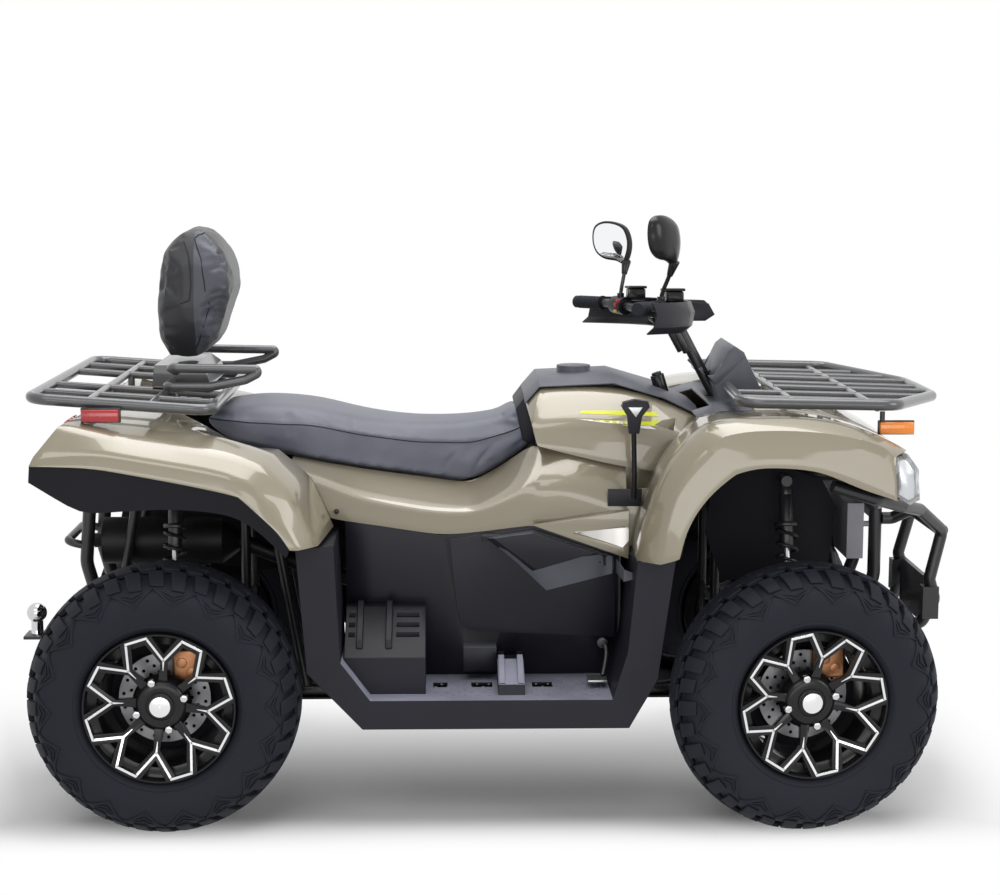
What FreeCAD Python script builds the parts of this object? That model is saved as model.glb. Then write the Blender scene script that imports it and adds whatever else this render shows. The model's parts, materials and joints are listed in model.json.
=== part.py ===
import FreeCAD, Part
import math
import os

import Sketcher
from FreeCAD import Vector

# Two-seat quad bike, in millimetres.
# X runs forward, Y to the rider's left and Z up. The origin lies on the ground,
# on the centre plane and half way between the axles.

doc = FreeCAD.newDocument("quad_bike")
sheet = doc.addObject("Spreadsheet::Sheet", "sizes")

DRIVING_SIZES = [
    ("wheelbase", 1467.0, "front axle to rear axle"),
    ("tyre_radius", 315.0, "25 inch tyre, to the tips of its lugs"),
    ("front_tyre_width", 203.0, "8 inch front tyre"),
    ("rear_tyre_width", 254.0, "10 inch rear tyre"),
    ("wheel_face_offset", 575.0, "centre plane to the outer lip of each wheel"),
    ("rim_radius", 173.0, "outer edge of the rim flange"),
    ("rim_wall", 7.0, "thickness of a rim flange and barrel"),
    ("kingpin_offset", 430.0, "centre plane to the kingpin"),
    ("kingpin_half_height", 85.0, "axle line to each ball joint"),
    ("arm_pivot_offset", 120.0, "centre plane to the inner arm pivots"),
    ("arm_half_spread", 130.0, "half the distance between an arm's two legs"),
    ("arm_tube_radius", 11.0, "suspension arm tube"),
    ("disc_radius", 105.0, "brake disc"),
    ("disc_thickness", 4.0, "brake disc"),
    ("stub_radius", 15.0, "stub axle"),
    ("running_clearance", 0.05, "radial clearance of turning fits"),
    ("seat_clearance", 0.3, "gap between pieces bolted on separate nodes"),
    ("column_rake", 28.0, "steering column back from vertical, degrees"),
    ("column_radius", 14.0, "steering column"),
    ("parked_steer", 6.0, "angle at which the bars are left, degrees to the left"),
    ("steering_arm", 90.0, "pitman arm and knuckle arm"),
    ("frame_tube_radius", 16.0, "main frame tube"),
    ("lower_rail_height", 245.0, "centre of the lower frame rails"),
    ("lower_rail_offset", 150.0, "centre plane to the lower frame rails"),
    ("engine_length", 460.0, "engine and gearbox block"),
    ("engine_width", 280.0, "engine and gearbox block"),
    ("engine_height", 340.0, "engine and gearbox block"),
    ("skid_length", 1152.0, "skid plate"),
    ("skid_thickness", 5.0, "skid plate"),
    ("panel_thickness", 4.0, "moulded body panels"),
    ("fender_half_width", 565.0, "centre plane to the fender lips"),
    ("footwell_outer", 490.0, "centre plane to the outer skirt of a footwell"),
    ("footwell_inner", 246.0, "centre plane to the inner edge of a footwell"),
    ("footwell_skin", 6.0, "footwell moulding"),
    ("cover_outer", 300.0, "centre plane to the raised side cover"),
    ("seat_half_width", 188.0, "pillion part of the seat"),
    ("rack_tube_radius", 13.0, "outer rails of the racks"),
    ("rack_slat_radius", 9.0, "inner bars of the racks"),
    ("rack_half_width", 445.0, "centre plane to a rack's side rail"),
    ("front_rack_height", 990.0, "centre of the front rack's rails"),
    ("bumper_tube_radius", 15.0, "front bumper"),
    ("bar_radius", 11.0, "handlebar"),
    ("grip_radius", 17.0, "handlebar grip"),
    ("hitch_ball_radius", 25.0, "50 mm towing ball"),
    ("hitch_ball_height", 407.0, "centre of the towing ball"),
    ("hitch_reach", 1118.0, "origin back to the ball's centre"),
    ("hitch_plate", 8.0, "towing plate"),
]

for row, (alias, value, meaning) in enumerate(DRIVING_SIZES, 1):
    sheet.set(f"A{row}", meaning)
    sheet.set(f"B{row}", str(value))
    sheet.setAlias(f"B{row}", alias)
doc.recompute()


def size(alias):
    return float(sheet.get(alias))


axle = size("wheelbase") / 2
wheel_radius = size("tyre_radius")
gap = size("seat_clearance")
UP = Vector(0, 0, 1)
kept = []


# Helpers

def keep(feature, label):
    """Register a finished sub-part under the name of its file."""
    feature.Label = label
    kept.append(feature)
    return feature


def keep_shape(label, shape):
    """A sub-part whose shape is worked out by code."""
    feature = doc.addObject("Part::Feature", label)
    feature.Shape = shape
    return keep(feature, label)


def mirrored(shape):
    return shape.mirror(Vector(0, 0, 0), Vector(0, 1, 0))


def pair(shape):
    """The piece and its mirror image as two separate solids."""
    return Part.makeCompound([shape, mirrored(shape)])


def joined(shapes):
    """One solid from pieces that overlap or meet."""
    whole = shapes[0].multiFuse(shapes[1:]) if len(shapes) > 1 else shapes[0]
    refined = whole.copy().removeSplitter()
    whole = refined if refined.isValid() else whole
    return whole.Solids[0] if len(whole.Solids) == 1 else whole


def joined_pair(shapes):
    """Pieces of one side joined with their mirror images."""
    return joined(shapes + [mirrored(shape) for shape in shapes])


def block(low, high):
    """Box from its lowest to its highest corner."""
    low, high = Vector(*low), Vector(*high)
    extent = high - low
    return Part.makeBox(extent.x, extent.y, extent.z, low)


def rod(start, end, radius):
    """Round bar between two points."""
    start, end = Vector(*start), Vector(*end)
    return Part.makeCylinder(radius, (end - start).Length, start, end - start)


def tube(points, radius, bend=60.0):
    """Round bar along straight runs joined by tangent arcs."""
    points = [Vector(*point) for point in points]
    edges = []
    start = points[0]
    for before, corner, after in zip(points, points[1:], points[2:]):
        back = (before - corner).normalize()
        ahead = (after - corner).normalize()
        half_turn = (math.pi - back.getAngle(ahead)) / 2
        shorter = min((before - corner).Length, (after - corner).Length)
        cut = min(bend * math.tan(half_turn), 0.45 * shorter)
        arc_radius = cut / math.tan(half_turn)
        middle = (back + ahead).normalize()
        centre = corner + middle * (arc_radius / math.cos(half_turn))
        entry, leave = corner + back * cut, corner + ahead * cut
        edges.append(Part.LineSegment(start, entry).toShape())
        edges.append(Part.Arc(entry, centre - middle * arc_radius, leave).toShape())
        start = leave
    edges.append(Part.LineSegment(start, points[-1]).toShape())
    ring = Part.Wire(Part.makeCircle(radius, points[0], points[1] - points[0]))
    return Part.Wire(edges).makePipeShell([ring], True, False)


def plate(outline, thickness, plane, offset):
    """Flat plate from an outline in the XZ or YZ or XY plane, thickened along the normal."""
    lift = {
        "XZ": lambda p: Vector(p[0], offset, p[1]),
        "YZ": lambda p: Vector(offset, p[0], p[1]),
        "XY": lambda p: Vector(p[0], p[1], offset),
    }[plane]
    normal = {"XZ": Vector(0, 1, 0), "YZ": Vector(1, 0, 0), "XY": UP}[plane]
    corners = [lift(point) for point in outline]
    face = Part.Face(Part.makePolygon(corners + corners[:1]))
    return face.extrude(normal * thickness)


def positive(solid):
    """The solid with its faces pointing outwards."""
    if solid.Volume < 0:
        solid.reverse()
    return solid


def faceted_ring(section, sides):
    """Ring of flat facets about Z. Its section has (radius, height) corners."""
    def corner(point, index):
        angle = 2 * math.pi * (index - 0.5) / sides
        return Vector(point[0] * math.cos(angle), point[0] * math.sin(angle), point[1])

    faces = []
    for index in range(sides):
        for low, high in zip(section, section[1:] + section[:1]):
            quad = [corner(low, index), corner(high, index),
                    corner(high, index + 1), corner(low, index + 1)]
            faces.append(Part.Face(Part.makePolygon(quad + quad[:1])))
    return positive(Part.Solid(Part.Shell(faces)))


def faceted_solid(sections):
    """Solid through loops of points. In each loop, point k faces point -1 - k, and
    the ends are closed by strips between the facing points."""
    faces = []

    def add(*corners):
        outline = [p for p, q in zip(corners, corners[1:] + corners[:1])
                   if (p - q).Length > 1e-6]
        if len(outline) < 3:
            return
        if len(outline) == 4:
            a, b, c, d = outline
            normal = (b - a).cross(c - a)
            if abs((d - a).dot(normal)) > 1e-7 * normal.Length:
                if (c - a).Length > (d - b).Length:
                    a, b, c, d = b, c, d, a
                add(a, b, c)
                add(a, c, d)
                return
        faces.append(Part.Face(Part.makePolygon(outline + outline[:1])))

    for near, far in zip(sections, sections[1:]):
        for k in range(len(near)):
            add(near[k - 1], near[k], far[k], far[k - 1])
    for loop in (sections[0], sections[-1]):
        for k in range((len(loop) - 1) // 2):
            add(loop[k], loop[k + 1], loop[-2 - k], loop[-1 - k])
    return positive(Part.Solid(Part.Shell(faces)))


def skin(grid, thickness):
    """Panel through stations. Each station is a row of points on the outer
    surface, and the wall is built inwards from it."""
    rows, columns = len(grid), len(grid[0])

    def normal(i, j):
        along = grid[min(i + 1, rows - 1)][j] - grid[max(i - 1, 0)][j]
        across = grid[i][min(j + 1, columns - 1)] - grid[i][max(j - 1, 0)]
        return along.cross(across).normalize()

    sections = []
    for i, row in enumerate(grid):
        inner = [point + normal(i, j) * thickness for j, point in enumerate(row)]
        sections.append(row + inner[::-1])
    return faceted_solid(sections)


def stations(*rails):
    """Turn rails of (x, z) pairs, each at one y or at a list of them, into rows."""
    rows = []
    for i in range(len(rails[0][1])):
        row = []
        for offset, points in rails:
            y = offset[i] if isinstance(offset, list) else offset
            row.append(Vector(points[i][0], y, points[i][1]))
        rows.append(row)
    return rows


def along(points, x):
    """Height of an outline of (x, z) pairs at one x."""
    points = sorted(points)
    for low, high in zip(points, points[1:]):
        if low[0] <= x <= high[0]:
            return low[1] + (high[1] - low[1]) * (x - low[0]) / (high[0] - low[0])
    return points[0][1] if x < points[0][0] else points[-1][1]


def raised(points, lift):
    return [(x, z + lift) for x, z in points]


def sketch_outline(body, role, corners):
    """Closed outline on one of the body's own planes. Each corner is a pair of
    expressions in the sheet's sizes, and both stay bound to them."""
    plane = [each for each in body.Origin.OriginFeatures if each.Role == role][0]
    sketch = body.newObject("Sketcher::SketchObject", f"{body.Name}_outline")
    sketch.AttachmentSupport = [(plane, "")]
    sketch.MapMode = "FlatFace"
    points = [Vector(*[float(sheet.evalExpression(part)) for part in corner], 0)
              for corner in corners]
    count = len(points)
    for index in range(count):
        line = Part.LineSegment(points[index], points[(index + 1) % count])
        sketch.addGeometry(line)
    for index in range(count):
        sketch.addConstraint(Sketcher.Constraint("Coincident", index, 2,
                                                 (index + 1) % count, 1))
    for index, corner in enumerate(corners):
        for kind, part in zip(("DistanceX", "DistanceY"), corner):
            value = float(sheet.evalExpression(part))
            number = sketch.addConstraint(Sketcher.Constraint(kind, -1, 1, index, 1, value))
            sketch.setExpression(f"Constraints[{number}]", part)
    return sketch


def padded_body(label, role, corners, length_expression, midplane=False):
    """Body with one outline padded to a length from the sheet."""
    body = doc.addObject("PartDesign::Body", label)
    sketch = sketch_outline(body, role, corners)
    pad = body.newObject("PartDesign::Pad", f"{label}_pad")
    pad.Profile = sketch
    pad.Midplane = midplane
    pad.setExpression("Length", length_expression)
    return keep(body, label)


# Wheels, built with their axis on Z and their outer face upwards

SPOKES = 8
FACETS = 36
TREAD_FACETS = 3 * FACETS
rim_radius = size("rim_radius")
rim_wall = size("rim_wall")
barrel_radius = rim_radius - 22
hub_face = 500.0
lip_depth = 29.0
tread_groove = 11.0


def tyre(width, rim_half_width):
    """Tyre with a lug every ten degrees on each shoulder, staggered from side to side."""
    half = width / 2
    bead = rim_half_width - lip_depth - gap
    crown = wheel_radius / math.cos(math.pi / TREAD_FACETS)
    shoulder = wheel_radius - 20
    walls = [(barrel_radius + 2 * gap, bead), (rim_radius + 3, bead),
             (rim_radius + 9, rim_half_width - 10), (wheel_radius * 0.81, half)]
    faces = []

    def corner(radius, height, station):
        angle = 2 * math.pi * (station / TREAD_FACETS - 0.5 / FACETS)
        return Vector(radius * math.cos(angle), radius * math.sin(angle), height)

    def tread(radius, height, station):
        stagger = 0 if height > 0 else 1
        drop = tread_groove if (station + stagger) % 3 == 2 else 0
        return corner(radius - drop, height, station)

    def add(*corners):
        faces.append(Part.Face(Part.makePolygon(list(corners) + [corners[0]])))

    for start in range(0, TREAD_FACETS, 3):
        end = start + 3
        for side in (1, -1):
            rings = [(radius, side * height) for radius, height in walls]
            for low, high in zip(rings, rings[1:]):
                add(corner(*low, start), corner(*low, end), corner(*high, end),
                    corner(*high, start))
            bulge = [corner(*rings[-1], start), corner(*rings[-1], end)]
            edge = [tread(shoulder, side * (half - 11), start + k) for k in range(4)]
            add(bulge[0], edge[0], edge[1])
            add(bulge[0], edge[1], edge[2])
            add(bulge[0], edge[2], bulge[1])
            add(bulge[1], edge[2], edge[3])
        inner = (walls[0][0], bead)
        add(corner(*inner, start), corner(*inner, end), corner(inner[0], -bead, end),
            corner(inner[0], -bead, start))
    bands = [(shoulder, half - 11), (crown, half * 0.42), (crown, -half * 0.42),
             (shoulder, 11 - half)]
    for station in range(TREAD_FACETS):
        for low, high in zip(bands, bands[1:]):
            near, far = tread(*low, station), tread(*high, station)
            near_next, far_next = tread(*low, station + 1), tread(*high, station + 1)
            add(near, far, near_next)
            add(near_next, far, far_next)
    return positive(Part.Solid(Part.Shell(faces)))


def rim(rim_half_width, hub_depth, phase):
    """Eight Y spokes between a hub and a faceted barrel, with bars between the tips."""
    face = rim_half_width
    inner = -rim_half_width
    barrel = faceted_ring([
        (barrel_radius - rim_wall, inner), (rim_radius, inner),
        (rim_radius, inner + rim_wall), (barrel_radius, inner + rim_wall),
        (barrel_radius, face - lip_depth), (rim_radius, face - lip_depth),
        (rim_radius, face), (rim_radius - 5, face), (rim_radius - 8, face - lip_depth + 9),
        (barrel_radius - rim_wall, face - lip_depth + 3)], FACETS)
    tip_radius = rim_radius - 5
    fork_radius = 105.0
    root_radius = 50.0
    bar = 7.0
    depth = 16.0
    tip_angle = math.radians(180 / SPOKES - 8.25)
    tip_x, tip_y = tip_radius * math.cos(tip_angle), tip_radius * math.sin(tip_angle)
    lean = math.atan2(tip_x - fork_radius, tip_y)
    side = bar / math.cos(lean)
    y_outline = [
        (root_radius, -bar - 4), (fork_radius - 8, -bar),
        (tip_x - side, -tip_y - bar), (tip_x + 4, -tip_y), (tip_x + 4, -tip_y + side),
        (fork_radius + side + 4, 0),
        (tip_x + 4, tip_y - side), (tip_x + 4, tip_y), (tip_x - side, tip_y + bar),
        (fork_radius - 8, bar), (root_radius, bar + 4)]
    spoke = plate(y_outline, depth, "XY", face - depth)
    dish = math.degrees(math.asin(35.0 / (tip_x - root_radius)))
    spoke.rotate(Vector(tip_x, 0, face), Vector(0, 1, 0), -dish)
    chord = tip_radius * math.sin(math.radians(8.25)) + 2
    chord_x = tip_radius * math.cos(math.radians(8.25))
    tip_bar = block((chord_x - bar, -chord, face - depth), (chord_x + 3, chord, face))
    pieces = [barrel]
    for index in range(SPOKES):
        fork = spoke.copy()
        fork.rotate(Vector(), UP, phase + (index + 0.5) * 360 / SPOKES)
        bridge = tip_bar.copy()
        bridge.rotate(Vector(), UP, phase + index * 360 / SPOKES)
        pieces += [fork, bridge]
    hub_top = face - 30
    pieces.append(faceted_ring([(0.5, face - hub_depth), (68, face - hub_depth),
                                (68, face - 56), (52, hub_top), (0.5, hub_top)], 16))
    pieces.append(Part.makeCylinder(24, 12, Vector(0, 0, hub_top - 2)))
    tyre_room = faceted_ring([
        (barrel_radius, inner + rim_wall), (rim_radius + 30, inner + rim_wall),
        (rim_radius + 30, face - lip_depth), (barrel_radius, face - lip_depth)], FACETS)
    return joined(pieces).cut(tyre_room)


def disc(rim_half_width, hub_depth):
    """Hub flange, bearing sleeve and brake disc, on a round bore."""
    top = rim_half_width - hub_depth - gap
    sleeve = 46.0
    disc_at = top - 28
    half = size("disc_thickness") / 2
    body = faceted_ring([
        (8, top - sleeve), (40, top - sleeve), (40, disc_at - half),
        (size("disc_radius"), disc_at - half), (size("disc_radius"), disc_at + half),
        (40, disc_at + half), (58, top - 8), (58, top), (8, top)], 24)
    bore = size("stub_radius") + size("running_clearance")
    return body.cut(Part.makeCylinder(bore, sleeve + 1, Vector(0, 0, top - sleeve - 1)))


def set_upright(shape, x, centre_offset, side):
    """Stand a wheel piece on its axle line. Side is -1 for right and 1 for left."""
    shape = shape.copy()
    shape.rotate(Vector(), Vector(1, 0, 0), 90)
    shape.translate(Vector(x, -centre_offset, wheel_radius))
    return mirrored(shape) if side > 0 else shape


def turned(shape, side):
    """Swing a front corner's piece about its kingpin to the parked angle."""
    shape = shape.copy()
    pivot = Vector(axle, side * size("kingpin_offset"), 0)
    shape.rotate(pivot, UP, size("parked_steer"))
    return shape


WHEEL_SETS = [
    ("front", axle, size("front_tyre_width"), 101.55),
    ("rear", -axle, size("rear_tyre_width"), 107.0),
]
for end, x, width, phase in WHEEL_SETS:
    rim_half = width / 2 - 9.5
    centre = size("wheel_face_offset") - rim_half
    hub_depth = size("wheel_face_offset") - hub_face
    for name, side in (("right", -1), ("left", 1)):
        pieces = {
            "tyre": tyre(width, rim_half),
            "wheel": rim(rim_half, hub_depth, phase),
            "brake_disc": disc(rim_half, hub_depth),
        }
        for kind, shape in pieces.items():
            shape = set_upright(shape, x, centre, side)
            if end == "front":
                shape = turned(shape, side)
            keep_shape(f"{kind}_{end}_{name}", shape)


# Knuckles, one per corner, drawn for the left side

kingpin = size("kingpin_offset")
kingpin_half = size("kingpin_half_height")
pin_radius = 8.0
post_radius = 18.0
eye_height = 24.0


def knuckle(x, steered):
    """Upright with its two ball pins, stub axle, brake calliper and steering arm."""
    post_half = kingpin_half - eye_height / 2 - 1
    pins_half = kingpin_half + eye_height / 2 + 1
    at = wheel_radius
    disc_plane = hub_face - gap - 28
    pieces = [
        rod((x, kingpin, at - pins_half), (x, kingpin, at + pins_half), pin_radius),
        rod((x, kingpin, at - post_half), (x, kingpin, at + post_half), post_radius),
        rod((x, kingpin, at), (x, hub_face - 6, at), size("stub_radius")),
        rod((x, kingpin, at), (x, hub_face - 52, at), 30),
    ]
    jaw = block((x + 30, disc_plane - 24, at + 52), (x + 84, disc_plane + 22, at + 112))
    slot = block((x + 20, disc_plane - 7, at + 30), (x + 110, disc_plane + 7, at + 104))
    bracket = block((x - 8, kingpin - 10, at + 40), (x + 60, disc_plane - 16, at + 64))
    pieces += [jaw.cut(slot), bracket]
    if steered:
        reach = size("steering_arm")
        level = at + 4
        pieces.append(block((x - reach - 12, kingpin - 12, level),
                            (x, kingpin + 12, level + 10)))
        pieces.append(rod((x - reach, kingpin, level), (x - reach, kingpin, level + 42), 5))
    return joined(pieces)


keep_shape("knuckle_front_left", turned(knuckle(axle, True), 1))
keep_shape("knuckle_front_right", turned(mirrored(knuckle(axle, True)), -1))
keep_shape("knuckles_rear", pair(knuckle(-axle, False)))


# Suspension arms, drive shafts and shock absorbers

pivot_offset = size("arm_pivot_offset")
spread = size("arm_half_spread")
upper_eye = wheel_radius + kingpin_half
lower_eye = wheel_radius - kingpin_half
upper_pivot = upper_eye + 25
lower_pivot = lower_eye + 12
sleeve_half = 22.0
shock_foot = Vector(0, 300, 0)


def arm(x, eye_level, pivot_level):
    """V-shaped arm from a ball joint eye to two pivot sleeves."""
    eye = rod((x, kingpin, eye_level - eye_height / 2),
              (x, kingpin, eye_level + eye_height / 2), 20)
    bore = rod((x, kingpin, eye_level - eye_height), (x, kingpin, eye_level + eye_height),
               pin_radius + size("running_clearance"))
    pieces = [eye]
    for fore in (-1, 1):
        foot = x + fore * spread
        pieces.append(rod((x + fore * 8, kingpin - 14, eye_level),
                          (foot, pivot_offset, pivot_level), size("arm_tube_radius")))
        pieces.append(rod((foot - sleeve_half, pivot_offset, pivot_level),
                          (foot + sleeve_half, pivot_offset, pivot_level), 17))
    share = (kingpin - shock_foot.y) / (kingpin - pivot_offset)
    level = eye_level + (pivot_level - eye_level) * share
    half = 8 + (spread - 8) * share
    pieces.append(rod((x - half, shock_foot.y, level), (x + half, shock_foot.y, level),
                      size("arm_tube_radius")))
    return joined(pieces).cut(bore)


arms = [arm(x, eye, pivot) for x in (axle, -axle)
        for eye, pivot in ((upper_eye, upper_pivot), (lower_eye, lower_pivot))]
keep_shape("suspension_arms",
           Part.makeCompound(arms + [mirrored(each) for each in arms]))

case_half = 90.0


def drive_shaft(x):
    """Half shaft with a bellows boot at each end."""
    start = case_half + gap
    end = kingpin - post_radius - 4
    level = wheel_radius
    return joined([
        rod((x, start, level), (x, end, level), 12),
        Part.makeCone(34, 16, 62, Vector(x, start, level), Vector(0, 1, 0)),
        Part.makeCone(16, 30, 56, Vector(x, end - 70, level), Vector(0, 1, 0)),
    ])


keep_shape("drive_shafts", Part.makeCompound(
    [part for x in (axle, -axle) for part in (drive_shaft(x), mirrored(drive_shaft(x)))]))

shock_share = (kingpin - shock_foot.y) / (kingpin - pivot_offset)
foot_level = upper_eye + (upper_pivot - upper_eye) * shock_share + size("arm_tube_radius")
tower_height = 775.0
tower_half = 232.0
tower_radius = 13.0
COILS = 7


def shock(x):
    """Coil-over damper standing on the upper arm's cross tube."""
    foot = Vector(x, shock_foot.y, foot_level + gap)
    top = Vector(x, tower_half - 16, tower_height - tower_radius - gap)
    axis = top - foot
    length = axis.Length
    unit = Vector(axis).normalize()
    pieces = [Part.makeCylinder(12, length - 12, foot + unit * 6, unit),
              Part.makeCylinder(24, 70, foot + unit * (length - 96), unit),
              Part.makeCylinder(15, 22, foot, UP),
              Part.makeCylinder(15, 22, top - UP * 22, UP)]
    for index in range(COILS + 1):
        at = foot + unit * (40 + index * (length - 140) / COILS)
        pieces.append(Part.makeCylinder(29, 9, at, unit))
    return joined(pieces)


shocks = [shock(x) for x in (axle, -axle)]
keep_shape("shock_absorbers",
           Part.makeCompound(shocks + [mirrored(each) for each in shocks]))


# Frame

rail = size("frame_tube_radius")
rail_low = size("lower_rail_height")
rail_out = size("lower_rail_offset")
bulkhead = 5.0
front_bay = [axle - spread - sleeve_half - gap, axle + spread + sleeve_half + gap]
column_rake = math.radians(size("column_rake"))
column_point = Vector(530, 0, 1062)
column_axis = Vector(-math.sin(column_rake), 0, math.cos(column_rake))
column_foot = column_point - column_axis * 660
column_top = column_point + column_axis * 66


def on_column(distance, radius, height, hole):
    """Bearing ring round the steering column."""
    base = column_foot + column_axis * distance
    outer = Part.makeCylinder(radius, height, base, column_axis)
    return outer.cut(Part.makeCylinder(hole, height + 2, base - column_axis, column_axis))


keel = 78.0
keel_low = 228.0
lower_rail = tube([(-955, 118, 725), (-968, 118, 560), (-905, 118, 330), (-840, keel, keel_low),
                   (-650, keel, keel_low), (-590, keel, rail_low), (-550, keel, rail_low),
                   (-450, rail_out, rail_low), (450, rail_out, rail_low), (550, keel, rail_low),
                   (590, keel, rail_low), (650, keel, keel_low), (840, keel, keel_low),
                   (905, 118, 330), (975, 118, 520), (975, 118, 690)], rail, 70)
upper_rail = tube([(-955, 118, 735), (-560, 118, 735), (-300, 140, 690), (330, 140, 640),
                   (600, 118, tower_height), (905, 118, tower_height), (975, 118, 690)],
                  rail, 90)
frame_half = [lower_rail, upper_rail,
              rod((-430, rail_out - 2, rail_low), (-520, 123, 735), 13),
              rod((330, rail_out - 2, rail_low), (330, 138, 640), 13)]

# Posts under the tank, the seat and the rear deck, and beams for the footwells.
for x, out, low, high in ((330, 138, 640, 814.2), (-300, 138, 690, 796.4),
                          (-790, 118, 735, 938.5)):
    frame_half.append(rod((x, out, low), (x, out, high), 11))
beam_radius = 13.0
beam_level = 302.0 - gap - beam_radius
for x in (-120, 200):
    frame_half.append(rod((x, rail_out - 4, beam_level), (x, 470, beam_level), beam_radius))
    frame_half.append(rod((x, rail_out, rail_low), (x, rail_out, beam_level), 9))
crossbars = [
    rod((x, -out, level), (x, out, level), radius)
    for x, out, level, radius in ((-575, keel, rail_low, rail), (575, keel, rail_low, rail),
                                  (-110, rail_out, rail_low, rail),
                                  (250, rail_out, rail_low, rail), (-520, 123, 735, 13),
                                  (330, 138, 640, 13), (975, 118, 672, 13))]
for x in (axle, -axle):
    crossbars.append(rod((x, -tower_half, tower_height), (x, tower_half, tower_height),
                         tower_radius))
    for stay in (-118, 118):
        crossbars.append(rod((x, stay, 735), (x, stay, tower_height), tower_radius))
plates = []
for side in (-1, 1):
    for offset in (-1, 1):
        start = side * axle + offset * (spread + sleeve_half + gap)
        start = start if offset > 0 else start - bulkhead
        whole = plate([(-140, 215), (140, 215), (140, 460), (-140, 460)], bulkhead,
                      "YZ", start)
        opening = block((start - 1, -70, 360), (start + bulkhead + 1, 70, 440))
        plates.append(whole.cut(opening))
    outer_post = side * (axle + spread + sleeve_half + 3)
    inner_post = side * (axle - spread - sleeve_half - 3)
    for out in (-118, 118):
        crossbars.append(rod((outer_post, out, 449), (outer_post - side * 50, out, 745), 11))
        crossbars.append(rod((inner_post, out, 449), (inner_post, out, 735), 11))
receiver = block((-1080, -30, 305), (-axle - spread - sleeve_half, 30, 345))
tail_hook = tube([(-962, 118, 600), (-1015, 118, 612), (-1015, 0, 612)], 10, 30)
column_bearings = [on_column(14, 24, 22, size("column_radius") + size("running_clearance")),
                   on_column(330, 24, 24, size("column_radius") + size("running_clearance"))]
lower_bearing = column_foot + column_axis * 25
upper_bearing = column_foot + column_axis * 342
bearing_stays = []
for side in (-1, 1):
    bearing_stays.append(rod((lower_bearing.x, side * 22, lower_bearing.z),
                             (axle + spread + sleeve_half + 3, side * 100, 440), 9))
    bearing_stays.append(rod((upper_bearing.x, side * 22, upper_bearing.z),
                             (upper_bearing.x, side * 118, tower_height), 9))
keep_shape("frame", joined(frame_half + [mirrored(each) for each in frame_half] + crossbars
                           + plates + [receiver, tail_hook, mirrored(tail_hook)]
                           + column_bearings + bearing_stays))


# Engine, drive cases and skid plate

engine = doc.addObject("Part::Box", "engine")
engine.setExpression("Length", "sizes.engine_length")
engine.setExpression("Width", "sizes.engine_width")
engine.setExpression("Height", "sizes.engine_height")
engine.setExpression(".Placement.Base.x", "-160 mm")
engine.setExpression(".Placement.Base.y", "-sizes.engine_width / 2")
engine.setExpression(".Placement.Base.z",
                     "sizes.lower_rail_height + sizes.frame_tube_radius + sizes.seat_clearance")
keep(engine, "engine_block")


def drive_case(side):
    """Final drive with its input nose resting against the inner bulkhead."""
    nose_end = side * (axle - spread - sleeve_half)
    return joined([
        rod((side * axle, -case_half, wheel_radius), (side * axle, case_half, wheel_radius), 66),
        rod((nose_end, 0, wheel_radius), (side * axle, 0, wheel_radius), 42),
    ])


keep_shape("drive_cases", Part.makeCompound([drive_case(1), drive_case(-1)]))

skid_half = "sizes.skid_length / 2"
skid_nose = "(sizes.skid_length / 2 - 60)"
skid_side = "(sizes.lower_rail_offset + sizes.frame_tube_radius)"
skid_chin = "(sizes.lower_rail_offset + sizes.frame_tube_radius - 60)"
skid = padded_body("skid_plate", "XY_Plane", [
    (skid_half, skid_chin), (skid_nose, skid_side), ("-" + skid_nose, skid_side),
    ("-" + skid_half, skid_chin), ("-" + skid_half, "-" + skid_chin),
    ("-" + skid_nose, "-" + skid_side), (skid_nose, "-" + skid_side),
    (skid_half, "-" + skid_chin)], "sizes.skid_thickness")
skid.setExpression(".Placement.Base.z", "sizes.lower_rail_height - sizes.frame_tube_radius"
                   " - sizes.seat_clearance - sizes.skid_thickness")


# Body panels. Outlines are side views in (x, z), each at its own y.

wall = size("panel_thickness")
lip = size("fender_half_width")

front_lip = [(437, 651), (449, 711), (478, 766), (517, 811), (561, 845), (600, 857),
             (649, 860), (738, 854), (790, 834), (848, 808), (895, 794), (925, 783)]
front_crease = [(395, 637), (401, 725), (425, 800), (452, 851), (492, 898), (535, 930),
                (590, 943), (700, 943), (790, 934), (850, 920), (900, 902), (920, 882)]
front_shoulder = [(348, 637), (358, 712), (385, 795), (412, 858), (452, 910), (500, 948),
                  (563, 964), (700, 966), (790, 957), (850, 941), (912, 915), (957, 890)]
front_inner = [(352, 637), (366, 712), (392, 790), (422, 855), (465, 908), (505, 944),
               (560, 956), (700, 958), (790, 950), (855, 934), (915, 910), (965, 884)]
inner_edge = 310.0
seam = 0.6
front_fender = skin(stations((lip, front_lip), (lip - 12, front_crease),
                             (lip - 60, front_shoulder), (inner_edge, front_inner)), wall)
hood_edge = [(640, 957), (700, 958), (790, 950), (855, 934), (915, 910), (965, 884),
             (1000, 850), (1010, 800)]
hood_crown = raised(hood_edge, 11)
hood = skin(stations((inner_edge - seam, hood_edge), (150, hood_crown),
                     (-150, hood_crown), (seam - inner_edge, hood_edge)), wall)
keep_shape("front_body", Part.makeCompound([front_fender, mirrored(front_fender), hood]))

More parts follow.
